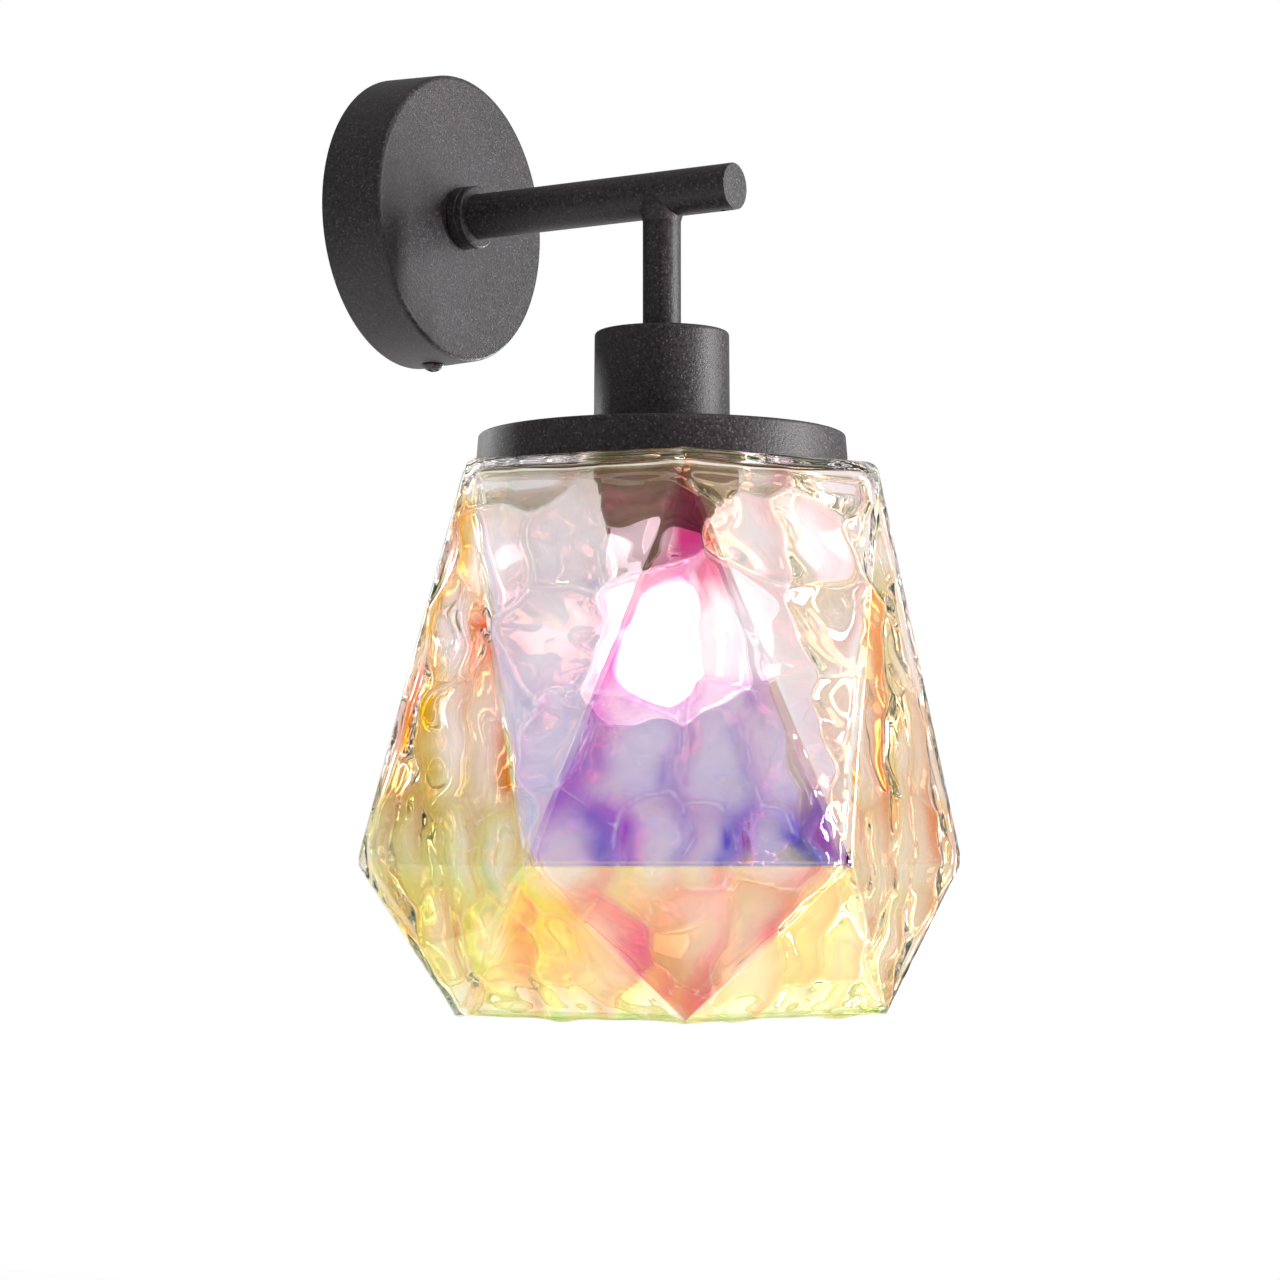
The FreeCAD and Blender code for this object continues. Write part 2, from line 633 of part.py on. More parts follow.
def make_carrier():
    """Insulating disc that carries the contacts, trapped between cap and sleeve."""
    radius = sleeve_inside() - FIT
    disc = rod(radius, CARRIER_TOP, CARRIER_FOOT)
    holes = []
    for side in (-1, 1):
        hole = rod(TERMINAL_RADIUS + FIT, CARRIER_TOP, CARRIER_TOP - TERMINAL_HEIGHT / 2)
        hole.translate(Vector(side * TERMINAL_SPREAD, 0, 0))
        holes.append(hole)
    return under_arm(disc.cut(holes))


def make_holder_terminals():
    """Two brass posts that take the wires."""
    posts = []
    for side in (-1, 1):
        post = rod(TERMINAL_RADIUS, CARRIER_TOP - TERMINAL_HEIGHT / 2, CARRIER_TOP + TERMINAL_HEIGHT / 2)
        bore = rod(WIRE_RADIUS + FIT, CARRIER_TOP + TERMINAL_HEIGHT / 2 - WIRE_INSERTION,
                   CARRIER_TOP + TERMINAL_HEIGHT)
        post = post.cut(bore)
        post.translate(Vector(side * TERMINAL_SPREAD, 0, 0))
        posts.append(under_arm(post))
    return posts


def sleeve_inside():
    """Inner radius of the holder's sleeve, round the thread shell."""
    return shell_outside() + FIT


def shell_outside():
    """Outer radius of the brass thread shell."""
    return LAMP_THREAD_RADIUS + TURNING_GAP + SHELL_SHEET


def shell_foot():
    """Lower end of the brass thread shell."""
    return SHELL_TOP - SHELL_LENGTH


def make_sleeve():
    """Lower half of the holder: thin throat inside the cap, threaded outside below it."""
    cap_foot = HOLDER_TOP - HOLDER_CAP_HEIGHT
    top = cap_foot + SLEEVE_OVERLAP
    thread_top = PLATE_TOP - PLATE_SHEET
    edges, middle, thread_foot = thread_edges(HOLDER_RADIUS, SLEEVE_THREAD_DEPTH,
                                              SLEEVE_THREAD_PITCH, thread_top, HOLDER_FOOT)
    neck = HOLDER_RADIUS - SLEEVE_THREAD_DEPTH - HOLDER_WALL - FIT
    inside = sleeve_inside()
    ledge = LAMP_THREAD_RADIUS + TURNING_GAP
    ledge_top = shell_foot()
    ledge_foot = ledge_top - SLEEVE_LEDGE
    foot = min(HOLDER_FOOT, thread_foot - FIT)
    edges += polyline([(middle, thread_foot), (middle, foot), (SLEEVE_MOUTH_RADIUS, foot),
                       (SLEEVE_MOUTH_RADIUS, ledge_foot), (ledge, ledge_foot), (ledge, ledge_top),
                       (inside, ledge_top), (inside, top), (neck, top), (neck, cap_foot),
                       (middle, cap_foot), (middle, thread_top)])
    return under_arm(turned_edges(edges))


def lamp_thread_outline(gap):
    """Wavy line of the lamp's thread moved out by a gap, and where it starts and ends."""
    start = LAMP_CAP_TOP - 2.0
    end = LAMP_GLASS_TOP + 3.0
    edges, middle, foot = thread_edges(LAMP_THREAD_RADIUS + gap, LAMP_THREAD_DEPTH,
                                       LAMP_THREAD_PITCH, start, end)
    return edges, middle, start, foot


def make_thread_shell():
    """Brass shell of the holder, pressed to the lamp's thread."""
    edges, middle, start, foot = lamp_thread_outline(TURNING_GAP)
    outer = shell_outside()
    edges += polyline([(middle, foot), (middle, shell_foot()), (outer, shell_foot()),
                       (outer, SHELL_TOP), (middle, SHELL_TOP), (middle, start)])
    return under_arm(turned_edges(edges))


def make_centre_contact():
    """Sprung brass tongue that presses on the lamp's tip, riveted under the carrier."""
    sheet = TONGUE_SHEET
    root = LAMP_THREAD_RADIUS - 3.5
    top = CARRIER_FOOT
    tip = LAMP_TOP
    corners = [Vector(-root, 0, top), Vector(-root + 4, 0, top), Vector(-1, 0, tip + sheet),
               Vector(3, 0, tip + sheet), Vector(3, 0, tip), Vector(-1.4, 0, tip),
               Vector(-root + 3.6, 0, top - sheet), Vector(-root, 0, top - sheet)]
    outline = Part.Wire(rounded_path(corners, [0] * len(corners), True))
    tongue = Part.Face(outline).extrude(Vector(0, TONGUE_WIDTH, 0))
    tongue.translate(Vector(0, -TONGUE_WIDTH / 2, 0))
    return under_arm(tongue)


def make_ring():
    """Threaded ring with grip ribs that holds the shade up against the plate."""
    foot = RING_TOP - RING_HEIGHT
    body = HOLDER_RADIUS + TURNING_GAP + RING_WALL
    body = min(body, RING_RADIUS - RIB_RADIUS)
    thread_start = sleeve_thread_start()
    edges, middle, thread_foot = thread_edges(HOLDER_RADIUS + TURNING_GAP, SLEEVE_THREAD_DEPTH,
                                              SLEEVE_THREAD_PITCH, thread_start, foot)
    edges += polyline([(middle, thread_foot), (middle, foot), (body - 0.6, foot), (body, foot + 0.6),
                       (body, RING_TOP - RING_FLANGE), (RING_RADIUS, RING_TOP - RING_FLANGE + 0.8),
                       (RING_RADIUS, RING_TOP), (middle, RING_TOP), (middle, thread_start)])
    ring = turned_edges(edges)
    ribs = []
    for i in range(RING_RIBS):
        angle = math.radians(i * 360 / RING_RIBS)
        rib = Part.makeCylinder(RIB_RADIUS, RING_HEIGHT - RING_FLANGE - 1.5,
                                Vector(body * math.cos(angle), body * math.sin(angle), foot + 1))
        ribs.append(rib)
    return under_arm(ring.fuse(ribs))


def sleeve_thread_start():
    """First crest line of the sleeve's thread that lies inside the ring."""
    top = PLATE_TOP - PLATE_SHEET
    skipped = math.ceil((top - RING_TOP) / SLEEVE_THREAD_PITCH)
    return top - skipped * SLEEVE_THREAD_PITCH


def make_gasket():
    """Soft washer between the ring and the glass."""
    return under_arm(pipe(RING_RADIUS - 0.4, HOLE_IN_PLATE, RING_TOP, GASKET_TOP))


# ---- shade ---------------------------------------------------------------------------
def corner_ring(radius, height, turn):
    """Corners of one level of the shade."""
    step = 360 / SHADE_SIDES
    angles = [math.radians(turn + step * i) for i in range(SHADE_SIDES)]
    return [Vector(radius * math.cos(angle), radius * math.sin(angle), height) for angle in angles]


def flat_face(*corners):
    """Plane face through its corners."""
    return Part.Face(Part.makePolygon(list(corners) + [corners[0]]))


def faceted_solid(levels):
    """Closed solid of flat facets through levels of (radius, height, turn in half steps)."""
    half_step = 180 / SHADE_SIDES
    rings = [corner_ring(radius, height, SHADE_TURN + half_step * turn)
             for radius, height, turn in levels]
    faces = [flat_face(*rings[0]), flat_face(*rings[-1])]
    for (upper, lower), (level, below) in zip(zip(rings, rings[1:]), zip(levels, levels[1:])):
        same = level[2] == below[2]
        shift = 1 if level[2] > below[2] else 0
        for i in range(SHADE_SIDES):
            after = (i + 1) % SHADE_SIDES
            if same:
                faces.append(flat_face(upper[i], upper[after], lower[after], lower[i]))
                continue
            beside = (i + shift) % SHADE_SIDES
            faces.append(flat_face(upper[i], upper[after], lower[beside]))
            faces.append(flat_face(lower[i], lower[after], upper[(i + 1 - shift) % SHADE_SIDES]))
    solid = Part.Solid(Part.Shell(faces))
    if solid.Volume < 0:
        solid.reverse()
    return solid


def make_shade():
    """Glass shell of triangles that widens to a girdle and closes in to an open rim."""
    top = SHADE_TOP
    girdle = top - SHADE_GIRDLE_DROP
    rim = top - SHADE_HEIGHT
    outer = faceted_solid([
        (SHADE_FLAT_RADIUS, top, 0),
        (SHADE_SHOULDER_RADIUS, top - SHADE_SHOULDER_DROP, 0),
        (SHADE_GIRDLE_RADIUS, girdle, 1),
        (SHADE_RIM_RADIUS, rim, 0),
    ])
    inset = SHADE_WALL / math.cos(math.pi / SHADE_SIDES)
    slope = (SHADE_GIRDLE_RADIUS - SHADE_RIM_RADIUS) / (girdle - rim)
    below = SHADE_WALL
    inner = faceted_solid([
        (SHADE_FLAT_RADIUS - inset / 2, top - SHADE_WALL, 0),
        (SHADE_SHOULDER_RADIUS - inset, top - SHADE_SHOULDER_DROP - SHADE_WALL / 4, 0),
        (SHADE_GIRDLE_RADIUS - inset, girdle, 1),
        (SHADE_RIM_RADIUS - inset - slope * below, rim - below, 0),
    ])
    hole = rod(HOLE_IN_PLATE, top + 1, top - 2 * SHADE_WALL)
    return under_arm(outer.cut(inner).cut(hole).removeSplitter())


# ---- lamp ----------------------------------------------------------------------------
def lamp_outline(shrink):
    """Outline of the pear-shaped glass from its top to the axis at its foot."""
    radius = LAMP_RADIUS - shrink
    neck = LAMP_NECK_RADIUS - shrink
    centre = LAMP_FOOT + LAMP_RADIUS
    neck_foot = LAMP_GLASS_TOP - LAMP_NECK_LENGTH
    fall = neck_foot - centre
    lean = math.radians(32)
    meet = Vector(radius * math.cos(lean), 0, centre + radius * math.sin(lean))
    start = Vector(neck, 0, neck_foot)
    flank = Part.BezierCurve()
    flank.setPoles([start, Vector(neck, 0, neck_foot - 0.35 * fall),
                    meet + Vector(-math.sin(lean), 0, math.cos(lean)) * (0.35 * fall), meet])
    side = Vector(radius * math.cos(-lean), 0, centre + radius * math.sin(-lean))
    foot = Vector(0, 0, centre - radius)
    globe = Part.Arc(meet, Vector(radius, 0, centre), side).toShape()
    bowl_angle = math.radians(-61)
    between = Vector(radius * math.cos(bowl_angle), 0, centre + radius * math.sin(bowl_angle))
    bowl = Part.Arc(side, between, foot).toShape()
    return start, [flank.toShape(), globe, bowl], foot


def make_envelope():
    """Hollow glass of the lamp, open at the top where the cap holds it."""
    outer_start, outer, outer_foot = lamp_outline(0)
    inner_start, inner, inner_foot = lamp_outline(LAMP_GLASS)
    top = LAMP_GLASS_TOP + LAMP_SEAL
    throat = LAMP_THREAD_RADIUS - LAMP_THREAD_DEPTH - LAMP_CAP_SHEET - 2 * FIT
    cap_foot = LAMP_GLASS_TOP
    outer_lead = polyline([(throat, top), (throat, cap_foot - FIT),
                           (outer_start.x, cap_foot - FIT), (outer_start.x, outer_start.z)])
    inner_lead = polyline([(inner_start.x, inner_start.z), (inner_start.x, cap_foot - LAMP_SEAL),
                           (throat - LAMP_GLASS, cap_foot - LAMP_SEAL), (throat - LAMP_GLASS, top),
                           (throat, top)])
    base = Part.LineSegment(outer_foot, inner_foot).toShape()
    edges = outer_lead + outer + [base] + list(reversed(inner)) + inner_lead
    wire = Part.Wire(Part.__sortEdges__(edges))
    return under_arm(Part.Face(wire).revolve(Vector(0, 0, 0), Vector(0, 0, 1), 360))


def make_lamp_cap():
    """Screwed metal cap of the lamp."""
    edges, middle, start, foot = lamp_thread_outline(0)
    root = LAMP_THREAD_RADIUS - LAMP_THREAD_DEPTH
    inner = root - LAMP_CAP_SHEET
    crown = LAMP_CAP_NECK - 1.5 * LAMP_CAP_SHEET
    end = LAMP_GLASS_TOP
    edges += polyline([(middle, foot), (middle, end), (inner, end), (inner, start - 1.0),
                       (crown, LAMP_CAP_TOP - 0.8), (crown, LAMP_CAP_TOP), (LAMP_CAP_NECK, LAMP_CAP_TOP),
                       (middle, start)])
    return under_arm(turned_edges(edges))


def make_lamp_tip():
    """Dark insulator on the lamp's cap and the metal contact on top of it."""
    top = LAMP_TOP - LAMP_CONTACT_HEIGHT
    plug = LAMP_CAP_NECK - 1.5 * LAMP_CAP_SHEET - FIT
    insulator = turned([(0, LAMP_CAP_TOP - 0.6), (plug, LAMP_CAP_TOP - 0.6), (plug, LAMP_CAP_TOP),
                        (LAMP_CAP_NECK, LAMP_CAP_TOP), (LAMP_CONTACT_RADIUS + 0.6, top), (0, top)])
    contact = turned([(0, top), (LAMP_CONTACT_RADIUS, top), (LAMP_CONTACT_RADIUS - 1.2, LAMP_TOP),
                      (0, LAMP_TOP)])
    return under_arm(insulator), under_arm(contact)


def make_mount_and_filaments():
    """Glass mount in the lamp's neck and the glowing rods that it carries."""
    top = LAMP_GLASS_TOP - 1.0
    foot = LAMP_GLASS_TOP - MOUNT_LENGTH
    throat = LAMP_THREAD_RADIUS - LAMP_THREAD_DEPTH - LAMP_CAP_SHEET - 2 * FIT - LAMP_GLASS - FIT
    mount = under_arm(turned([
        (0, top), (throat, top), (throat, top - 1.0), (MOUNT_RADIUS, top - 7.0, 2.0),
        (MOUNT_RADIUS * 0.7, foot + 4.0, 2.0), (1.6, foot), (0, foot),
    ]))
    rods = []
    for i in range(FILAMENT_COUNT):
        angle = math.radians(i * 360 / FILAMENT_COUNT + 45)
        out = Vector(math.cos(angle), math.sin(angle), 0)
        start = out * FILAMENT_TOP_SPREAD + Vector(0, 0, foot + 6.0)
        end = out * FILAMENT_FOOT_SPREAD + Vector(0, 0, foot + 6.0 - FILAMENT_LENGTH)
        run = end - start
        bar = Part.makeCylinder(FILAMENT_RADIUS, run.Length, start, run)
        rods.append(under_arm(bar))
    rods = [bar.cut(mount) for bar in rods]
    return mount, rods


# ---- wires ---------------------------------------------------------------------------
def make_wire(side):
    """One wire from the terminal block through arm and stem to the holder."""
    x = side * WIRE_SPREAD
    block_face = BLOCK_START
    gathering = CANOPY_DEPTH - CANOPY_SHEET - LOCK_WASHER_SHEET - LOCK_NUT_THICKNESS - NIPPLE_STAND_OUT
    pole_z = side * POLE_SPACING / 2
    holder_top = HOLDER_TOP - HOLDER_CAP_TOP - NIPPLE_STAND_OUT
    terminal = CARRIER_TOP + TERMINAL_HEIGHT / 2
    points = [
        Vector(block_face + 1.0 + WIRE_INSERTION, -POLE_DEPTH, pole_z),
        Vector(x, -POLE_DEPTH, pole_z),
        Vector(x, -gathering - 1.0, 0),
        Vector(x, -STEM_REACH, 0),
        Vector(x, -STEM_REACH, holder_top - 1.0),
        Vector(side * TERMINAL_SPREAD, -STEM_REACH, terminal + 2.0),
        Vector(side * TERMINAL_SPREAD, -STEM_REACH, terminal - WIRE_INSERTION),
    ]
    bends = [0, WIRE_SMALL_BEND, WIRE_SMALL_BEND, WIRE_BEND, 1.5, 1.5, 0]
    return cable(points, bends, WIRE_RADIUS)


def main():
    """Build every node and write it."""
    os.makedirs("parts", exist_ok=True)
    save("wall_bracket", make_bracket())
    save("canopy", make_canopy())
    save("canopy_screw", make_canopy_screw())
    earth_screw, earth_washer = make_earth_parts()
    save("earth_screw", earth_screw)
    save("earth_washer", earth_washer)
    block, barrels, clamps, fixing = make_terminal_parts()
    save("terminal_block", block)
    save("terminal_barrels", barrels)
    save("terminal_clamp_screws", clamps)
    save("terminal_fixing_screw", fixing)
    save("arm_collar", make_collar())
    save("arm_tube", make_arm())
    save("arm_end_cap", make_arm_cap())
    save("arm_insert", make_arm_insert())
    save("arm_nipple", make_arm_nipple())
    save("arm_lock_washer", make_lock_washer())
    save("arm_lock_nut", make_lock_nut())
    save("stem_tube", make_stem())
    save("stem_nipple", make_stem_nipple())
    save("holder_cup", make_cup())
    save("shade_plate", make_plate())
    save("holder_cap", make_holder_cap())
    save("contact_carrier", make_carrier())
    save("holder_terminals", make_holder_terminals())
    save("holder_sleeve", make_sleeve())
    save("thread_shell", make_thread_shell())
    save("centre_contact", make_centre_contact())
    save("shade_gasket", make_gasket())
    save("shade_ring", make_ring())
    save("glass_shade", make_shade())
    save("lamp_glass", make_envelope())
    save("lamp_cap", make_lamp_cap())
    insulator, contact = make_lamp_tip()
    save("lamp_insulator", insulator)
    save("lamp_contact", contact)
    mount, rods = make_mount_and_filaments()
    save("lamp_mount", mount)
    save("lamp_filaments", rods)
    save("live_wire", make_wire(1))
    save("neutral_wire", make_wire(-1))


main()
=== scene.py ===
"""Looks of a wall sconce: charcoal powder-coated metal and a faceted, rippled, iridescent glass shade.

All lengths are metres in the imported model's frame: +Z up, the wall is y = 0, the arm points to -Y.
"""

import json
import logging
import math
from dataclasses import dataclass, field
from enum import Enum

import bmesh
import bpy
import numpy as np
from mathutils import Matrix, Vector


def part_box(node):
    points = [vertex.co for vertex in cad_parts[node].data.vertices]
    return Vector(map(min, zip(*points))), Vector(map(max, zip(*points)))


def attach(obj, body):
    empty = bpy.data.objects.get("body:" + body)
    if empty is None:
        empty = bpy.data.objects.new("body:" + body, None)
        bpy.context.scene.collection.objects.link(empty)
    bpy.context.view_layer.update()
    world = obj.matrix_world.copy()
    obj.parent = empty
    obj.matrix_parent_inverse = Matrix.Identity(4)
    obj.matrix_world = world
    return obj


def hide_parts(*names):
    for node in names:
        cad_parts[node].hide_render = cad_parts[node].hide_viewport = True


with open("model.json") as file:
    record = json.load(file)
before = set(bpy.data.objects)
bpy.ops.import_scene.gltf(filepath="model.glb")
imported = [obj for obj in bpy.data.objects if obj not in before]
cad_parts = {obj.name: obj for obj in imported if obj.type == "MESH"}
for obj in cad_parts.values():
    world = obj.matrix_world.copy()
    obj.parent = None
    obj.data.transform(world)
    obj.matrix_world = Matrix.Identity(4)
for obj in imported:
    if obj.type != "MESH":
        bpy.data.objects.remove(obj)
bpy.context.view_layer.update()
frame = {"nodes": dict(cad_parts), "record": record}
LOG = logging.getLogger("sconce")
SIDES = 6
AXIS_Y = -0.1046  # the upright axis of shade and lamp, at x = 0
CLOUD = (0.35, 0.65)  # span that the mottle noise mostly keeps to
GRAIN = (0.3, 0.9)  # span that the grain height mostly keeps to
Colour = tuple[float, float, float]
Span = tuple[float, float]


def linear(code: str) -> np.ndarray:
    """Linear colour of a six-digit display colour.

    Args:
        code: Two hexadecimal digits each for red, green and blue.

    Returns:
        Array of three linear values from 0 to 1.
    """
    shown = np.array([int(code[i:i + 2], 16) / 255 for i in (0, 2, 4)])
    return np.where(shown <= 0.04045, shown / 12.92, ((shown + 0.055) / 1.055) ** 2.4)


def smooth_step(low: float, high: float, value: np.ndarray) -> np.ndarray:
    """Cubic ramp from 0 at low to 1 at high: 3t^2 - 2t^3 of the clipped share t."""
    share = np.clip((value - low) / (high - low), 0, 1)
    return share * share * (3 - 2 * share)


# ---- node trees ----------------------------------------------------------------------
def set_sockets(node: bpy.types.Node, values: dict) -> None:
    """Sets or links a node's inputs.

    Args:
        node: The node.
        values: Socket name or number to a value or to another node's output.
    """
    for name, value in values.items():
        socket = node.inputs[name]
        if isinstance(value, bpy.types.NodeSocket):
            node.id_data.links.new(value, socket)
        else:
            socket.default_value = value


class Sketch:
    """Adds nodes to a tree and links them by name, left to right."""

    column_width = 220

    def __init__(self, tree: bpy.types.NodeTree) -> None:
        """Keeps the tree that the nodes go into."""
        self.tree = tree
        self.column = 0

    def add(self, kind: str, inputs: dict | None = None, **settings: object) -> bpy.types.Node:
        """Adds one node.

        Args:
            kind: Blender's node type, without its ShaderNode prefix.
            inputs: Socket name or number to a value or to another node's output.
            settings: The node's own properties.

        Returns:
            The new node.
        """
        node = self.tree.nodes.new("ShaderNode" + kind)
        node.location = (self.column_width * self.column, 0)
        self.column += 1
        for name, value in settings.items():
            setattr(node, name, value)
        set_sockets(node, inputs or {})
        return node

    def group(self, made: bpy.types.NodeTree, inputs: dict) -> bpy.types.Node:
        """Places a shared group with its own values."""
        return self.add("Group", inputs, node_tree=made)

    def attribute(self, name: str, output: str = "Fac") -> bpy.types.NodeSocket:
        """Reads one of the mesh's own attributes."""
        return self.add("Attribute", attribute_name=name).outputs[output]

    def math(self, operation: str, first: object, second: object = 0.0,
             clamp: bool = False) -> bpy.types.NodeSocket:
        """One Math node's output."""
        return self.add("Math", {0: first, 1: second}, operation=operation, use_clamp=clamp).outputs[0]

    def blend(self, share: object, first: object, second: object,
              way: str = "MIX") -> bpy.types.NodeSocket:
        """One colour Mix node's output."""
        mix = self.add("Mix", {0: share, 6: first, 7: second}, data_type="RGBA", blend_type=way)
        return mix.outputs[2]

    def remap(self, value: object, low: float, high: float, new_low: float = 0.0,
              new_high: float = 1.0) -> bpy.types.NodeSocket:
        """One clamped Map Range node's output."""
        return self.add("MapRange", {0: value, 1: low, 2: high, 3: new_low, 4: new_high}).outputs[0]


def group_tree(
        name: str, inputs: dict[str, tuple[str, object]], outputs: dict[str, str],
) -> tuple[bpy.types.NodeTree, Sketch, bpy.types.Node, bpy.types.Node]:
    """Starts a shared node group.

    Args:
        name: The group's name.
        inputs: Socket name to (kind, value), kind being Float, Color or Vector.
        outputs: Socket name to kind.

    Returns:
        The tree, its sketch, its input node and its output node.
    """
    tree = bpy.data.node_groups.new(name, "ShaderNodeTree")
    for label, (kind, value) in inputs.items():
        socket = tree.interface.new_socket(label, in_out="INPUT", socket_type="NodeSocket" + kind)
        socket.default_value = value
    for label, kind in outputs.items():
        tree.interface.new_socket(label, in_out="OUTPUT", socket_type="NodeSocket" + kind)
    entry = tree.nodes.new("NodeGroupInput")
    leave = tree.nodes.new("NodeGroupOutput")
    return tree, Sketch(tree), entry, leave


def grain_group() -> bpy.types.NodeTree:
    """Fine surface grain in object space: a height, and sparse bright specks.

    Returns:
        Group with Scale and Speck Scale in, and Height, Speck and Mottle out.
    """
    tree, sketch, entry, leave = group_tree(
        "fine grain",
        {"Scale": ("Float", 1500.0), "Speck Scale": ("Float", 2200.0)},
        {"Height": "Float", "Speck": "Float", "Mottle": "Float"},
    )
    spot = sketch.add("TexCoord").outputs["Object"]
    grain = sketch.add("TexNoise", {"Vector": spot, "Scale": entry.outputs["Scale"], "Detail": 3.0,
                                    "Roughness": 0.65})
    cells = sketch.add("TexVoronoi", {"Vector": spot, "Scale": entry.outputs["Speck Scale"]},
                       feature="F1")
    chance = sketch.add("SeparateColor", {0: cells.outputs["Color"]})
    lucky = sketch.remap(chance.outputs[0], 0.72, 0.95)
    core = sketch.remap(cells.outputs["Distance"], 0.15, 0.55, 1.0, 0.0)
    speck = sketch.math("MULTIPLY", lucky, core)
    mottle = sketch.add("TexNoise", {"Vector": spot, "Scale": 45.0, "Detail": 4.0, "Roughness": 0.6})
    rise = sketch.math("ADD", grain.outputs[0], sketch.math("MULTIPLY", speck, 0.5))
    tree.links.new(rise, leave.inputs["Height"])
    tree.links.new(speck, leave.inputs["Speck"])
    tree.links.new(mottle.outputs[0], leave.inputs["Mottle"])
    return tree


def edge_group() -> bpy.types.NodeTree:
    """Worn-edge mask from the surface's pointiness, broken up by noise.

    Returns:
        Group with Low and High in, and Mask out.
    """
    tree, sketch, entry, leave = group_tree(
        "worn edge", {"Low": ("Float", 0.52), "High": ("Float", 0.62)}, {"Mask": "Float"})
    point = sketch.add("NewGeometry").outputs["Pointiness"]
    spot = sketch.add("TexCoord").outputs["Object"]
    noise = sketch.add("TexNoise", {"Vector": spot, "Scale": 260.0, "Detail": 3.0})
    ramp = sketch.add("MapRange", {0: point, 1: entry.outputs["Low"], 2: entry.outputs["High"]})
    mask = sketch.math("MULTIPLY", ramp.outputs[0], sketch.remap(noise.outputs[0], 0.35, 0.7))
    tree.links.new(mask, leave.inputs["Mask"])
    return tree


class Effects:
    """The shared node groups, each built once."""

    def __init__(self) -> None:
        """Builds every group."""
        self.grain = grain_group()
        self.edge = edge_group()


def new_material(name: str) -> tuple[bpy.types.Material, Sketch, bpy.types.Node]:
    """Empty node material with its Principled shader.

    Args:
        name: The material's name.

    Returns:
        The material, a sketch of its tree and the shader node.
    """
    made = bpy.data.materials.new(name)
    made.use_nodes = True
    tree = made.node_tree
    tree.nodes.clear()
    sketch = Sketch(tree)
    shader = tree.nodes.new("ShaderNodeBsdfPrincipled")
    shader.location = (1600, 0)
    output = tree.nodes.new("ShaderNodeOutputMaterial")
    output.location = (1900, 0)
    tree.links.new(shader.outputs[0], output.inputs[0])
    return made, sketch, shader


def rgba(colour: np.ndarray | Colour) -> tuple[float, float, float, float]:
    """A colour with full alpha."""
    return (float(colour[0]), float(colour[1]), float(colour[2]), 1.0)


# ---- finishes ------------------------------------------------------------------------
@dataclass(frozen=True)
class PowderCoat:
    """Fine-textured charcoal powder coat with tiny pale specks."""

    dark: str = "171416"
    pale: str = "433d41"
    speck: str = "6a6467"
    grain_scale: float = 1000.0
    speck_scale: float = 1300.0
    depth: float = 0.0002

    def build(self, effects: Effects) -> bpy.types.Material:
        """Makes the material from the shared grain.

        Args:
            effects: The shared node groups.

        Returns:
            The new material.
        """
        made, sketch, shader = new_material("powder coat")
        grain = sketch.group(effects.grain, {"Scale": self.grain_scale, "Speck Scale": self.speck_scale})
        cloud = sketch.remap(grain.outputs["Mottle"], *CLOUD, -0.08, 0.08)
        share = sketch.math("ADD", sketch.remap(grain.outputs["Height"], 0.35, 0.75), cloud, True)
        body = sketch.blend(share, rgba(linear(self.dark)), rgba(linear(self.pale)))
        sparkle = sketch.math("MULTIPLY", grain.outputs["Speck"], 0.55)
        colour = sketch.blend(sparkle, body, rgba(linear(self.speck)))
        bump = sketch.add("Bump", {"Strength": 0.9, "Distance": self.depth,
                                   "Height": grain.outputs["Height"]})
        rough = sketch.remap(grain.outputs["Height"], *GRAIN, 0.4, 0.55)
        set_sockets(shader, {"Base Color": colour, "Roughness": rough, "Normal": bump.outputs[0],
                             "Specular IOR Level": 0.35})
        return made


@dataclass(frozen=True)
class PlainMetal:
    """Plated or bare metal with fine grain, brushed streaks and duller patches."""

    name: str
    bright: str
    dull: str
    roughness: float
    grain_scale: float = 1400.0

    def build(self, effects: Effects) -> bpy.types.Material:
        """Makes the material from the shared grain and edge wear.

        Args:
            effects: The shared node groups.

        Returns:
            The new material.
        """
        made, sketch, shader = new_material(self.name)
        grain = sketch.group(effects.grain, {"Scale": self.grain_scale, "Speck Scale": 900.0})
        edge = sketch.group(effects.edge, {"Low": 0.51, "High": 0.6})
        patch = sketch.remap(grain.outputs["Mottle"], *CLOUD)
        body = sketch.blend(patch, rgba(linear(self.bright)), rgba(linear(self.dull)))
        colour = sketch.blend(edge.outputs[0], body, rgba(linear(self.bright) ** 0.8))
        rough = sketch.remap(grain.outputs["Height"], *GRAIN, self.roughness - 0.07, self.roughness + 0.1)
        bump = sketch.add("Bump", {"Strength": 0.2, "Distance": 0.00004, "Height": grain.outputs["Height"]})
        set_sockets(shader, {"Base Color": colour, "Roughness": rough, "Metallic": 1.0,
                             "Normal": bump.outputs[0]})
        return made


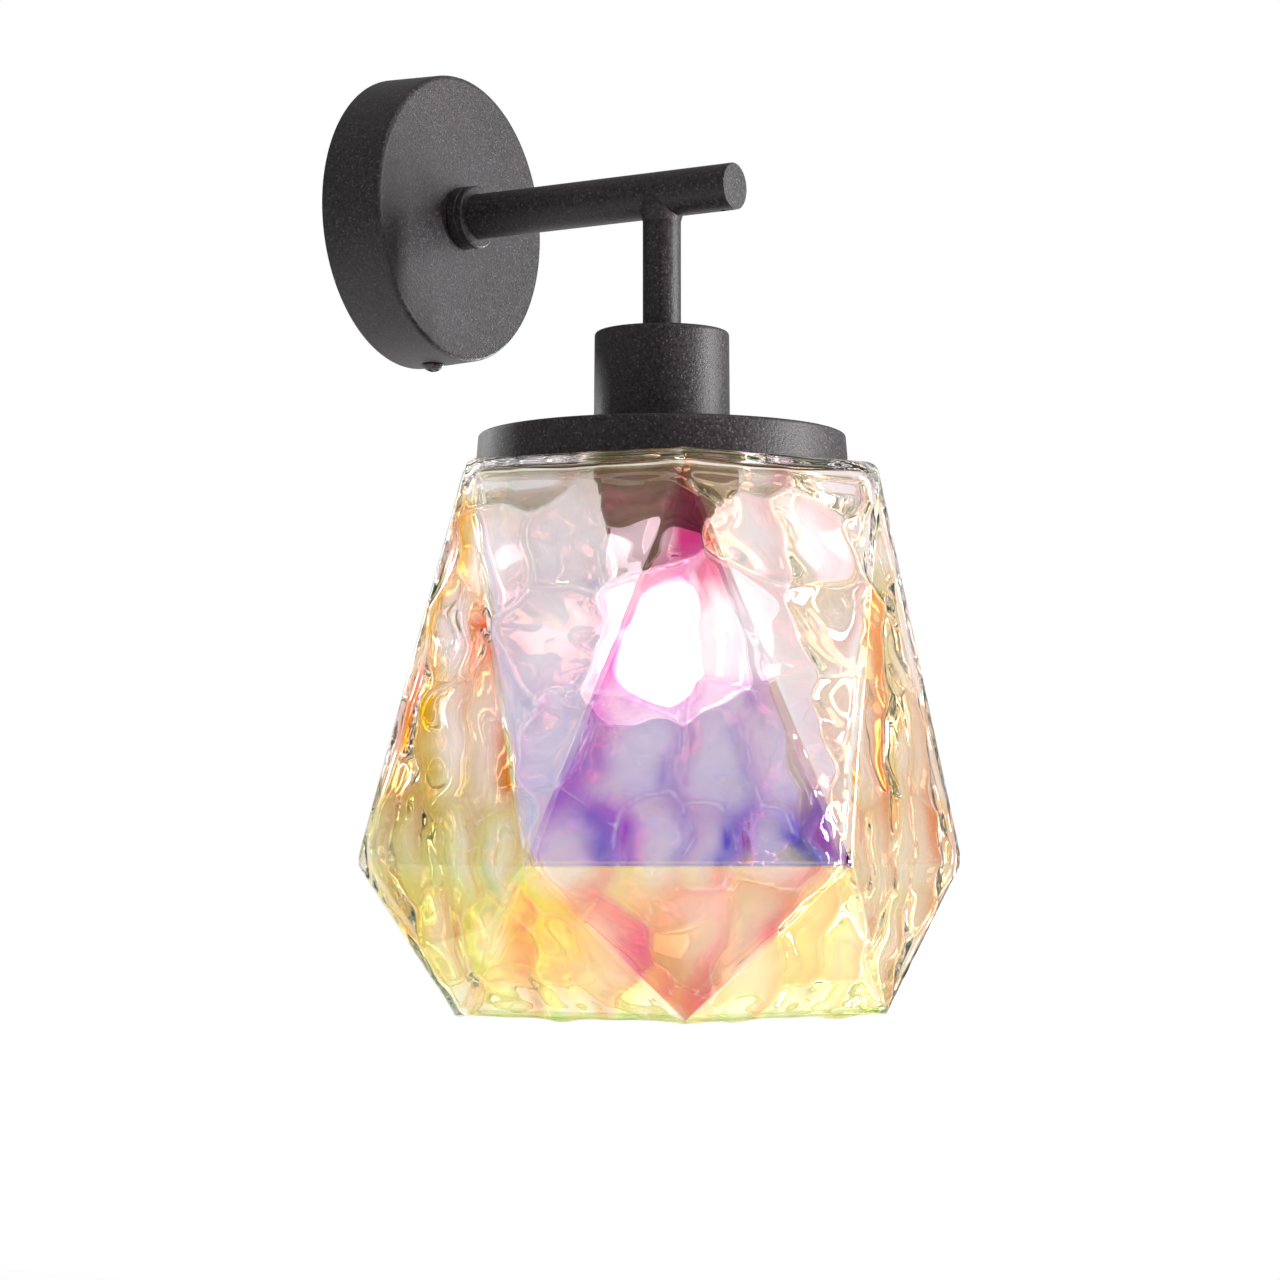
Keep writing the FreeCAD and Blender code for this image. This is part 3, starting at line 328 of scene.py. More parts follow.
@dataclass(frozen=True)
class Moulding:
    """Moulded or cast dielectric: plastic, ceramic, rubber or painted steel."""

    name: str
    body: str
    shade: str
    roughness: float
    grain_scale: float = 700.0
    depth: float = 0.00005
    speck: float = 0.1

    def build(self, effects: Effects) -> bpy.types.Material:
        """Makes the material from the shared grain and edge wear.

        Args:
            effects: The shared node groups.

        Returns:
            The new material.
        """
        made, sketch, shader = new_material(self.name)
        grain = sketch.group(effects.grain, {"Scale": self.grain_scale, "Speck Scale": 1300.0})
        edge = sketch.group(effects.edge, {"Low": 0.52, "High": 0.62})
        patch = sketch.remap(grain.outputs["Mottle"], 0.3, 0.7)
        body = sketch.blend(patch, rgba(linear(self.body)), rgba(linear(self.shade)))
        pale = rgba(np.clip(linear(self.body) * 1.6 + 0.01, 0, 0.95))
        worn = sketch.blend(sketch.math("MULTIPLY", edge.outputs[0], 0.4), body, pale)
        colour = sketch.blend(sketch.math("MULTIPLY", grain.outputs["Speck"], self.speck), worn, pale)
        rough = sketch.remap(grain.outputs["Height"], *GRAIN, self.roughness - 0.06, self.roughness + 0.08)
        bump = sketch.add("Bump", {"Strength": 0.3, "Distance": self.depth,
                                   "Height": grain.outputs["Height"]})
        set_sockets(shader, {"Base Color": colour, "Roughness": rough, "Normal": bump.outputs[0]})
        return made


@dataclass(frozen=True)
class FilmGlass:
    """Clear glass under an iridescent film, tinted facet by facet with the mesh's own attributes.

    The film's hue sways over each lens of the inner face. Its colour deepens, a deeper film
    colour darkened as painted shade of the refracted lens lines, where the lens is steep, at its
    crease and in its hollow, less so where the film is pale. A painted highlight clears it towards
    white in the lens's middle and along the sharpest creases. A span gives the values between
    which an effect grows from nothing to all of it.
    """

    film_thickness: float = 420.0
    film_index: float = 1.8
    index: float = 1.5
    roughness: float = 0.015
    hue_swing: float = 0.07
    hue_patch: float = 0.02
    deep_hue: float = 0.475
    deep_saturation: float = 1.7
    shaded_value: float = 0.95
    # Where the deeper film colour and its painted shade of the refracted lens lines are laid on.
    steep_tilt: Span = (0.3, 0.95)
    crease_share: float = 0.5
    hollow_swell: Span = (0.5, 0.0)
    hollow_share: float = 0.7
    tinted_film: Span = (0.08, 0.3)
    pale_share: float = 0.22
    # Painted highlight: spans and shares by which the colour clears towards white in lens middles and
    # sharpest creases.
    centre_swell: Span = (0.45, 0.95)
    centre_highlight: float = 0.6
    line_crease: Span = (0.72, 0.97)
    crease_highlight: float = 0.5

    def build(self, effects: Effects) -> bpy.types.Material:
        """Makes the material; the attributes that it reads are the shade mesh's own.

        Args:
            effects: The shared node groups, which it doesn't need.

        Returns:
            The new material.
        """
        made, sketch, shader = new_material("film glass")
        film = sketch.attribute("film", "Color")
        tone = sketch.attribute("tone")
        tilt = sketch.attribute("tilt")
        crease = sketch.attribute("crease")
        swell = sketch.attribute("swell")
        lean = sketch.remap(tilt, -1.0, 1.0, -self.hue_swing, self.hue_swing)
        patch = sketch.remap(tone, 0.0, 1.0, 0.5 - self.hue_patch, 0.5 + self.hue_patch)
        sway = sketch.add("HueSaturation", {
            "Hue": sketch.math("ADD", lean, patch), "Value": 1.0, "Color": film,
            "Saturation": sketch.remap(tone, 0.2, 0.9, 0.9, 1.1)}).outputs[0]
        # Deeper, darker film colour: painted shade of the lens lines seen through the ripples.
        deep_and_shaded = sketch.add("HueSaturation", {
            "Hue": self.deep_hue, "Saturation": self.deep_saturation, "Value": self.shaded_value,
            "Color": sketch.blend(1.0, sway, film, "MULTIPLY")}).outputs[0]
        steep = sketch.remap(sketch.math("ABSOLUTE", tilt), *self.steep_tilt)
        share = sketch.math("MAXIMUM", steep, sketch.math("MULTIPLY", crease, self.crease_share))
        hollow = sketch.remap(swell, *self.hollow_swell, 0.0, self.hollow_share)
        share = sketch.math("MAXIMUM", share, hollow)
        strength = sketch.add("SeparateColor", {0: film}, mode="HSV").outputs[1]
        drench = sketch.math("MULTIPLY", sketch.attribute("drench"),
                             sketch.remap(strength, *self.tinted_film, self.pale_share, 1.0))
        # Film with its painted shade laid on at steep slopes, creases and hollows.
        shaded_film = sketch.blend(sketch.math("MULTIPLY", share, drench), sway, deep_and_shaded)
        # Painted highlight: the colour is blended towards white in each lens's middle and along its sharpest
        # creases.
        centre = sketch.math("MULTIPLY", sketch.remap(swell, *self.centre_swell, 0.0, self.centre_highlight),
                             sketch.remap(tone, 0.2, 0.8, 0.3, 1.0))
        line = sketch.remap(crease, *self.line_crease, 0.0, self.crease_highlight)
        colour = sketch.blend(sketch.math("MAXIMUM", centre, line), shaded_film, (1, 1, 1, 1))
        set_sockets(shader, {"Base Color": colour, "Roughness": self.roughness, "IOR": self.index,
                             "Transmission Weight": 1.0, "Thin Film Thickness": self.film_thickness,
                             "Thin Film IOR": self.film_index})
        return made


@dataclass(frozen=True)
class ClearGlass:
    """Thin clear lamp glass with a faint pink glow of its own."""

    tint: str = "fff6f4"
    glow: str = "ffd9ea"
    glow_strength: float = 0.16

    def build(self, effects: Effects) -> bpy.types.Material:
        """Makes the material with slight waviness in the glass.

        Args:
            effects: The shared node groups, which it doesn't need.

        Returns:
            The new material.
        """
        made, sketch, shader = new_material("lamp glass")
        spot = sketch.add("TexCoord").outputs["Object"]
        wave = sketch.add("TexNoise", {"Vector": spot, "Scale": 60.0, "Detail": 1.0})
        bump = sketch.add("Bump", {"Strength": 0.15, "Distance": 0.0006, "Height": wave.outputs[0]})
        tint = sketch.blend(wave.outputs[0], rgba(linear(self.tint)), (1, 1, 1, 1))
        set_sockets(shader, {"Base Color": tint, "Roughness": 0.02, "IOR": 1.45,
                             "Transmission Weight": 1.0, "Normal": bump.outputs[0],
                             "Emission Color": rgba(linear(self.glow)),
                             "Emission Strength": self.glow_strength})
        return made


@dataclass(frozen=True)
class Glow:
    """Glowing core of the lamp, whiter in its middle."""

    core: str = "fffaf2"
    rim: str = "ffd2e0"
    strength: float = 6.0
    rim_strength: float = 1.1

    def build(self, effects: Effects) -> bpy.types.Material:
        """Makes the emissive material.

        Args:
            effects: The shared node groups, which it doesn't need.

        Returns:
            The new material.
        """
        made, sketch, shader = new_material("lamp glow")
        spot = sketch.add("TexCoord").outputs["Object"]
        flow = sketch.add("TexNoise", {"Vector": spot, "Scale": 80.0, "Detail": 2.0})
        facing = sketch.add("LayerWeight", {"Blend": 0.5}).outputs["Facing"]
        share = sketch.math("ADD", facing, sketch.remap(flow.outputs[0], 0.3, 0.7, -0.08, 0.08))
        colour = sketch.blend(sketch.remap(share, 0.2, 0.8), rgba(linear(self.core)), rgba(linear(self.rim)))
        power = sketch.remap(share, 0.15, 0.85, self.strength, self.rim_strength)
        set_sockets(shader, {"Base Color": (0.9, 0.85, 0.75, 1.0), "Roughness": 0.5,
                             "Emission Color": colour, "Emission Strength": power})
        return made


# ---- meshes --------------------------------------------------------------------------
def grid_faces(rows: int, columns: int, closed_rows: bool) -> np.ndarray:
    """Quads of a grid whose columns close on themselves; the rows may close too.

    Args:
        rows: Number of rows of points.
        columns: Number of points in each row.
        closed_rows: Whether the last row joins the first.

    Returns:
        Array of quads, four point numbers each, row by row.
    """
    last = rows if closed_rows else rows - 1
    row, column = np.meshgrid(np.arange(last), np.arange(columns), indexing="ij")
    after = (column + 1) % columns
    below = (row + 1) % rows
    quads = np.stack([row * columns + column, row * columns + after,
                      below * columns + after, below * columns + column], axis=-1)
    return quads.reshape(-1, 4)


def signed_volume(points: np.ndarray, quads: np.ndarray) -> float:
    """Volume inside closed quads, as the sum of tetrahedra from the origin.

    Args:
        points: The points.
        quads: Four point numbers for each quad.

    Returns:
        The volume, positive if the quads face outwards.
    """
    a, b, c, d = (points[quads[:, i]] for i in range(4))
    halves = np.einsum("ij,ij->i", a, np.cross(b, c)) + np.einsum("ij,ij->i", a, np.cross(c, d))
    return float(halves.sum() / 6)


@dataclass
class Surface:
    """A closed grid of points with attributes, on its way to being a mesh."""

    points: np.ndarray
    closed_rows: bool = True
    floats: dict[str, np.ndarray] = field(default_factory=dict)
    corner_colours: dict[str, np.ndarray] = field(default_factory=dict)

    def to_object(self, name: str) -> bpy.types.Object:
        """Makes the mesh object, faces outwards, with doubled points merged.

        Args:
            name: The object's name.

        Returns:
            The new object, at the origin.
        """
        rows, columns, _ = self.points.shape
        quads = grid_faces(rows, columns, self.closed_rows)
        flat = self.points.reshape(-1, 3)
        flip = signed_volume(flat, quads) < 0
        if flip:
            quads = quads[:, ::-1]
        mesh = bpy.data.meshes.new(name)
        mesh.from_pydata(flat.tolist(), [], quads.tolist())
        for label, values in self.floats.items():
            layer = mesh.attributes.new(label, "FLOAT", "POINT")
            layer.data.foreach_set("value", values.reshape(-1).astype(np.float32))
        for label, values in self.corner_colours.items():
            layer = mesh.color_attributes.new(label, "FLOAT_COLOR", "CORNER")
            ordered = values[:, ::-1] if flip else values
            full = np.concatenate([ordered, np.ones(ordered.shape[:2] + (1,))], axis=-1)
            layer.data.foreach_set("color", full.reshape(-1).astype(np.float32))
        mesh.polygons.foreach_set("use_smooth", np.ones(len(mesh.polygons), dtype=bool))
        made = bmesh.new()
        made.from_mesh(mesh)
        bmesh.ops.remove_doubles(made, verts=made.verts, dist=2e-6)
        bmesh.ops.dissolve_degenerate(made, dist=1e-7, edges=made.edges)
        made.to_mesh(mesh)
        made.free()
        obj = bpy.data.objects.new(name, mesh)
        bpy.context.scene.collection.objects.link(obj)
        return obj


def place(obj: bpy.types.Object, body: str, slot: str, material: bpy.types.Material,
          *nodes: str) -> None:
    """Gives a piece its finish and its body, and lets it stand for CAD nodes.

    Args:
        obj: The new piece.
        body: CAD body that it rides on.
        slot: The record's material slot; not used.
        material: Its finish.
        nodes: CAD nodes that it replaces.
    """
    obj.data.materials.append(material)
    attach(obj, body)
    if nodes:
        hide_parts(*nodes)
    LOG.info("%s: %d faces, on %s", obj.name, len(obj.data.polygons), body)


def turned(axis_y: float, radii: np.ndarray, heights: np.ndarray, columns: int) -> np.ndarray:
    """Points of a profile turned about the upright line x = 0, y = axis_y.

    Args:
        axis_y: Where the line stands.
        radii: The profile's distances from the line, row by row.
        heights: The profile's heights, row by row.
        columns: Number of points in each row.

    Returns:
        Array of points by row and column.
    """
    angles = np.arange(columns) * (2 * math.pi / columns)
    levels = np.broadcast_to(heights[:, None], (len(heights), columns))
    along = radii[:, None]
    return np.stack([along * np.cos(angles), axis_y + along * np.sin(angles), levels], axis=-1)


# ---- the shade -----------------------------------------------------------------------
class Facet(Enum):
    """The four kinds of facet, by where they are and which way their tip points."""

    UPPER_TIP_UP = "upper tip up"
    UPPER_TIP_DOWN = "upper tip down"
    LOWER_TIP_DOWN = "lower tip down"
    LOWER_TIP_UP = "lower tip up"

    @classmethod
    def at(cls, lower: bool, second: bool) -> "Facet":
        """Kind of a side's first or second facet, above or below the girdle.

        Args:
            lower: Whether it is below the girdle.
            second: Whether it is the second of its side, going round.

        Returns:
            The kind.
        """
        if lower:
            return cls.LOWER_TIP_UP if second else cls.LOWER_TIP_DOWN
        return cls.UPPER_TIP_DOWN if second else cls.UPPER_TIP_UP


# Film colours of each kind of facet, (top, middle, foot) for the six sides in turn.
FILM = {
    Facet.UPPER_TIP_UP: (
        ("f6eef8", "f0eaf6", "f2ecec"), ("f4ecf6", "eeeaf4", "f4eeea"), ("f8d09c", "f6cfa8", "dcd8a0"),
        ("e8c6bc", "e4c0da", "d0beec"), ("fcf0d4", "fdf4d8", "fae8c4"), ("faf0e6", "f8ece2", "f6eade")),
    Facet.UPPER_TIP_DOWN: (
        ("f8f0f6", "f6f0f8", "eeeaf8"), ("f8ecda", "f6ecde", "eeeed2"), ("e0dcd0", "e6dce6", "e0dcf2"),
        ("f8ece2", "fdf8f2", "f4e8ea"), ("faf4e0", "faf2dc", "f8f0d4"), ("f8f0f4", "f6f0f8", "f4eef6")),
    Facet.LOWER_TIP_DOWN: (
        ("faeee8", "f8e4d8", "f4d8c8"), ("f8f2d8", "f6eecc", "f6eac0"), ("e8e6a8", "f4e6a0", "f8f0c4"),
        ("faeed0", "f6bc8c", "dc7c48"), ("faf4d4", "faf0c8", "faf4d8"), ("faf2e2", "f8ecd6", "f8e6cc")),
    Facet.LOWER_TIP_UP: (
        ("faeccc", "faeec8", "faf6e2"), ("faecc4", "faeec0", "faf6e2"), ("f8c870", "fad27c", "fcf6dc"),
        ("f8dc98", "fae6a0", "fcf4d4"), ("faf0cc", "faf2d0", "fcf8e4"), ("faeccc", "faf0cc", "faf6e4")),
}


@dataclass(frozen=True)
class Row:
    """One row of the shade's points, and where the film finds it.

    tip is the share of the way from the shoulder or the rim to the girdle, and lower says
    that the row is below the girdle.
    """

    points: np.ndarray
    tip: float
    lower: bool


@dataclass
class GlassShade:
    """Faceted shell: flat triangles outside, rippled like hand-poured glass inside.

    Both faces are one closed grid. Going down, its rows run over the flat top, round the
    shoulder, down the outside, round the rim, up the inside and across the ceiling to the hole.
    Going round, its columns follow the slanted edges between the triangles.
    """

    axis_y: float = AXIS_Y
    turn: float = math.radians(36.6)
    flat_radius: float = 0.073
    shoulder_radius: float = 0.0782
    shoulder_drop: float = 0.005
    girdle_radius: float = 0.1015
    girdle_drop: float = 0.1308
    rim_radius: float = 0.0796
    wall: float = 0.0036
    hole_radius: float = 0.0204
    side_columns: int = 37
    crispness: float = 260.0
    inner_crispness: float = 90.0
    upper_shares: tuple[float, ...] = (
        0, 0.012, 0.03, 0.1, 0.2, 0.3, 0.4, 0.5, 0.6, 0.7, 0.8, 0.88, 0.94, 0.975, 0.99, 1.0)
    lower_shares: tuple[float, ...] = (0.99, 0.97, 0.93, 0.85, 0.72, 0.58, 0.44, 0.3, 0.18, 0.08)
    inner_lower_rows: int = 42
    inner_upper_rows: int = 96
    inner_roll: float = 0.006
    rim_fade: float = 0.006
    ceiling_fade: float = 0.008
    ripple_depth: float = 0.0017
    ripple_width: float = 0.0165
    valley: float = 0.16
    trough: float = 2.2
    crease_width: float = 0.22
    full_tilt: float = 11.0
    low_drench: float = 0.6
    drench_span: Span = (-0.004, 0.012)
    rim_wave: float = 0.0024
    rim_tint: str = "d3e4a4"
    mean_radius: float = 0.085
    seed: int = 4
    bands: tuple[tuple[float, float, float], ...] = (
        (0.008, 0.0150, 0.0100), (0.030, 0.0165, 0.0135), (0.060, 0.0185, 0.0185), (0.095, 0.0125, 0.0185),
        (0.128, 0.0100, 0.0165), (0.155, 0.0112, 0.0150), (0.175, 0.0085, 0.0090))

    def levels(self) -> tuple[float, float, float, float]:
        """Levels of the shade, from the CAD node.

        Returns:
            Heights of the top, the shoulder, the girdle and the rim.
        """
        low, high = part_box("glass_shade")
        top = high[2]
        return top, top - self.shoulder_drop, top - self.girdle_drop, low[2]

    def ring(self, radius: float, height: float, half_steps: int) -> np.ndarray:
        """Six corners at one level, turned by half steps of 30 degrees."""
        angles = self.turn + math.pi / SIDES * half_steps + np.arange(SIDES) * (2 * math.pi / SIDES)
        return np.stack([radius * np.cos(angles), radius * np.sin(angles), np.full(SIDES, height)], axis=-1)

    def planes(self) -> tuple[np.ndarray, np.ndarray]:
        """The 24 facet planes, measured from the shade's axis.

        Returns:
            Their outward normals and their distances.
        """
        _, shoulder, girdle, rim = self.levels()
        tops = self.ring(self.shoulder_radius, shoulder, 0)
        waist = self.ring(self.girdle_radius, girdle, 1)
        feet = self.ring(self.rim_radius, rim, 0)
        before = np.roll(waist, 1, axis=0)
        triples = [(tops, before, waist), (tops, waist, np.roll(tops, -1, axis=0)),
                   (feet, waist, before), (feet, np.roll(feet, -1, axis=0), waist)]
        normals = np.concatenate([np.cross(b - a, c - a) for a, b, c in triples])
        normals /= np.linalg.norm(normals, axis=1, keepdims=True)
        anchors = np.concatenate([a for a, _, _ in triples])
        distances = np.einsum("ij,ij->i", normals, anchors)
        outward = np.sign(np.einsum("ij,ij->i", normals[:, :2], anchors[:, :2]))
        return normals * outward[:, None], distances * outward

    def reach(self, angle: np.ndarray, height: float, inset: float, crispness: float) -> np.ndarray:
        """Distance from the axis to the facets along level rays.

        Each plane is met at (d - nz z) / (n . ray); the distances are joined by a soft
        minimum, (sum r^-p)^(-1/p), which rounds the edges a little.

        Args:
            angle: Directions of the rays.
            height: Their height.
            inset: How far the planes are moved inwards.
            crispness: The power p.

        Returns:
            Array of distances, shaped like angle.
        """
        normals, distances = self.planes()
        total = np.zeros(angle.shape)
        for normal, distance in zip(normals, distances):
            facing = normal[0] * np.cos(angle) + normal[1] * np.sin(angle)
            met = (distance - inset - normal[2] * height) / np.where(facing > 0.05, facing, 1.0)
            total += np.where(facing > 0.05, (0.1 / np.maximum(met, 1e-4)) ** crispness, 0.0)
        return 0.1 * total ** (-1 / crispness)

    def column_shares(self) -> np.ndarray:
        """Places across one facet, from 0 to 1, with a few lines close to each edge."""
        inner = np.linspace(0.05, 0.95, self.side_columns - 5)
        return np.concatenate([[0.0, 0.007, 0.022], inner, [0.978, 0.993]])

    def angles_at(self, tip_share: float, from_girdle: bool) -> np.ndarray:
        """Angles of one row's columns, where the slanted edges cross its level.

        Args:
            tip_share: 0 at the shoulder or rim level, 1 at the girdle.
            from_girdle: Whether the row lies below the girdle.

        Returns:
            Angles of every column, two facets for each of the six sides.
        """
        _, shoulder, girdle, rim = self.levels()
        end_radius, end_height = (self.rim_radius, rim) if from_girdle else (self.shoulder_radius, shoulder)
        ends = self.ring(end_radius, end_height, 0)[:, :2]
        waist = self.ring(self.girdle_radius, girdle, 1)[:, :2]
        left = ends + (np.roll(waist, 1, axis=0) - ends) * tip_share
        right = ends + (waist - ends) * tip_share
        following = np.roll(left, -1, axis=0)
        share = self.column_shares()[:, None]
        parts = []
        for side in range(SIDES):
            parts.append(left[side] + (right[side] - left[side]) * share)
            parts.append(right[side] + (following[side] - right[side]) * share)
        row = np.concatenate(parts)
        return np.arctan2(row[:, 1], row[:, 0])

    def cells(self) -> np.ndarray:
        """Centres and half sizes of the lens-like cells of the inner face.

        Each band is a ring of evenly spaced cells, shaken a little in place and size: broad
        and round at the top, narrow and upright towards the girdle and the rim.

        Returns:
            Array of rows: angle, height, half width, half height, tone from 0 to 1.
        """
        top = self.levels()[0]
        random = np.random.default_rng(self.seed)
        made = []
        for drop, half_width, half_height in self.bands:
            count = round(math.pi * self.mean_radius / half_width)
            step = 2 * math.pi / count
            start = random.uniform(0, step)
            for i in range(count):
                grown = random.uniform(0.74, 1.3)
                made.append((
                    start + step * (i + random.uniform(-0.34, 0.34)),
                    top - drop + random.uniform(-0.3, 0.3) * half_height,
                    half_width * grown, half_height * random.uniform(0.85, 1.2) * grown,
                    random.uniform(0, 1)))
        return np.array(made)

    def flow(self, angle: np.ndarray, height: np.ndarray) -> np.ndarray:
        """Angles shaken sideways by two waves, so that no row of cells stands straight."""
        sway = 0.0022 * np.sin(height * 190 + 2.5 * np.sin(angle * 4))
        return angle + (sway + 0.0012 * np.sin(height * 420 + angle * 7)) / self.mean_radius

    def ripple(self, angle: np.ndarray, height: np.ndarray) -> tuple[np.ndarray, np.ndarray, np.ndarray]:
        """Lens-like cells of the inner face, on the surface unrolled at its mean radius.

        With q the squared distance to a centre in cell sizes, the swell is 1 - q of the nearest
        cell, rounded by valley where two cells meet and no deeper than trough. It is scaled by
        the width of the cells around, so narrow ones are shallow. The crease is 1 where the two
        nearest cells are as near.

        Args:
            angle: Angles of the points.
            height: Heights of the points.

        Returns:
            Swell, about 1 in the middle of a cell of ripple_width, crease from 0 to 1, and
            the nearest cell's tone.
        """
        flow = self.flow(angle, height)
        nearest = np.full(angle.shape, np.inf)
        second = np.full(angle.shape, np.inf)
        tone = np.zeros(angle.shape)
        weights = np.zeros(angle.shape)
        widths = np.zeros(angle.shape)
        for centre, level, half_width, half_height, shade in self.cells():
            gap = (flow - centre + math.pi) % (2 * math.pi) - math.pi
            q = (gap * self.mean_radius / half_width) ** 2 + ((height - level) / half_height) ** 2
            second = np.minimum(second, np.maximum(q, nearest))
            tone = np.where(q < nearest, shade, tone)
            nearest = np.minimum(nearest, q)
            weight = 1 / (0.05 + q) ** 3
            weights += weight
            widths += weight * half_width / self.ripple_width
        apart = np.sqrt(second) - np.sqrt(nearest)
        share = np.clip(0.5 + apart / (2 * self.valley), 0, 1)
        rounded = nearest * share + second * (1 - share) - self.valley * share * (1 - share)
        crease = 1 - smooth_step(0.0, self.crease_width, apart)
        return (1 - np.minimum(rounded, self.trough)) * widths / weights, crease, tone

    def row(self, angle: np.ndarray, radius: np.ndarray, height: float | np.ndarray, tip: float = 0.0,
            lower: bool = False) -> Row:
        """One row of points about the shade's axis.

        Args:
            angle: Angles of the points.
            radius: Their distances from the axis.
            height: Their height, or the height of each.
            tip: The row's share of the way to the girdle.
            lower: Whether the row is below the girdle.

        Returns:
            The row.
        """
        level = np.broadcast_to(height, angle.shape)
        points = [radius * np.cos(angle), self.axis_y + radius * np.sin(angle), level]
        return Row(np.stack(points, axis=-1), tip, lower)

    def top_rows(self) -> list[Row]:
        """Rows over the flat top, from the hole outwards, and round the shoulder.

        Returns:
            The rows.
        """
        top, shoulder, _, _ = self.levels()
        angle = self.angles_at(0.0, False)
        edge = self.reach(angle, shoulder, 0.0, self.crispness)
        flat = edge * (self.flat_radius / self.shoulder_radius)
        rows = [self.row(angle, self.hole_radius + (flat - self.hole_radius) * share, top)
                for share in np.linspace(0, 0.94, 5)]
        for step in np.linspace(0, math.pi / 2, 8)[:-1]:
            height = shoulder + (top - shoulder) * math.cos(step)
            rows.append(self.row(angle, flat + (edge - flat) * math.sin(step), height))
        return rows

    def side_rows(self) -> list[Row]:
        """Rows down the outside, closer together at the girdle.

        Returns:
            The rows.
        """
        _, shoulder, girdle, rim = self.levels()
        rows = []
        for lower, start, shares in ((False, shoulder, self.upper_shares),
                                     (True, rim + self.wall / 2, self.lower_shares)):
            for share in shares:
                angle = self.angles_at(share, lower)
                height = start + (girdle - start) * share
                radius = self.reach(angle, height, 0.0, self.crispness)
                rows.append(self.row(angle, radius, height, share, lower))
        return rows

    def rim_rows(self) -> list[Row]:
        """Rows round the rim, which is a little wavy.

        Returns:
            The rows.
        """
        lip = self.wall / 2
        level = self.levels()[3] + lip
        angle = self.angles_at(0.0, True)
        wave = self.rim_wave * (0.5 + 0.3 * np.sin(angle * 9 + 1) + 0.2 * np.sin(angle * 23))
        outer = self.reach(angle, level, 0.0, self.crispness)
        inner = self.reach(angle, level, self.wall, self.inner_crispness)
        rows = []
        for step in np.linspace(0, math.pi, 9):
            radius = (outer + inner) / 2 + (outer - inner) / 2 * math.cos(step)
            height = level - lip * math.sin(step) + wave * math.sin(step) ** 2
            rows.append(self.row(angle, radius, height, 0.0, True))
        return rows

    def inner_rows(self) -> list[Row]:
        """Rows up the inside, close together for the ripples.

        Returns:
            The rows.
        """
        top, _, girdle, rim = self.levels()
        ceiling = top - self.wall
        below = [(share, True, rim + self.wall / 2)
                 for share in np.linspace(0.0, 1.0, self.inner_lower_rows)[1:]]
        above = [(share, False, ceiling - self.inner_roll)
                 for share in np.linspace(1.0, 0.0, self.inner_upper_rows)[1:]]
        rows = []
        for share, lower, start in below + above:
            angle = self.angles_at(share, lower)
            height = start + (girdle - start) * share
            swell = self.ripple(angle, np.full(angle.shape, height))[0]
            fade = min(1.0, (height - rim) / self.rim_fade) * min(1.0, (ceiling - height) / self.ceiling_fade)
            radius = self.reach(angle, height, self.wall, self.inner_crispness)
            rows.append(self.row(angle, radius - self.ripple_depth * fade * swell, height, share, lower))
        return rows

    def ceiling_rows(self, wall_end: Row) -> list[Row]:
        """Rows round the inside's upper edge and across the ceiling to the hole.

        Args:
            wall_end: The row that they carry on from.

        Returns:
            The rows.
        """
        ceiling = self.levels()[0] - self.wall
        roll = self.inner_roll
        angle = self.angles_at(0.0, False)
        edge = np.linalg.norm(wall_end.points[:, :2] - np.array([0, self.axis_y]), axis=-1)
        rows = [self.row(angle, edge - roll * (1 - math.cos(step)), ceiling - roll + roll * math.sin(step))
                for step in np.linspace(0, math.pi / 2, 6)[1:]]
        across = edge - roll - self.hole_radius
        for share in (0.66, 0.33, 0.0):
            rows.append(self.row(angle, self.hole_radius + across * share, ceiling))
        return rows

    def surface(self) -> Surface:
        """Both faces of the shade as one closed grid, with the attributes that its glass reads.

        Returns:
            The surface, ready to be made an object.
        """
        inside = self.inner_rows()
        rows = self.top_rows() + self.side_rows() + self.rim_rows() + inside + self.ceiling_rows(inside[-1])
        points = np.stack([row.points for row in rows])
        angles = np.arctan2(points[..., 1] - self.axis_y, points[..., 0])
        swell, crease, tone = self.ripple(angles, points[..., 2])
        run = np.gradient(np.unwrap(angles, axis=1), axis=1)
        tilt = np.clip(np.gradient(swell, axis=1) / np.maximum(run, 1e-4) / self.full_tilt, -1, 1)
        above_girdle = points[..., 2] - self.levels()[2]
        drench = self.low_drench + (1 - self.low_drench) * smooth_step(*self.drench_span, above_girdle)
        floats = {"swell": swell, "crease": crease, "tone": tone, "tilt": tilt, "drench": drench}
        return Surface(points, floats=floats, corner_colours={"film": self.film(rows, points)})

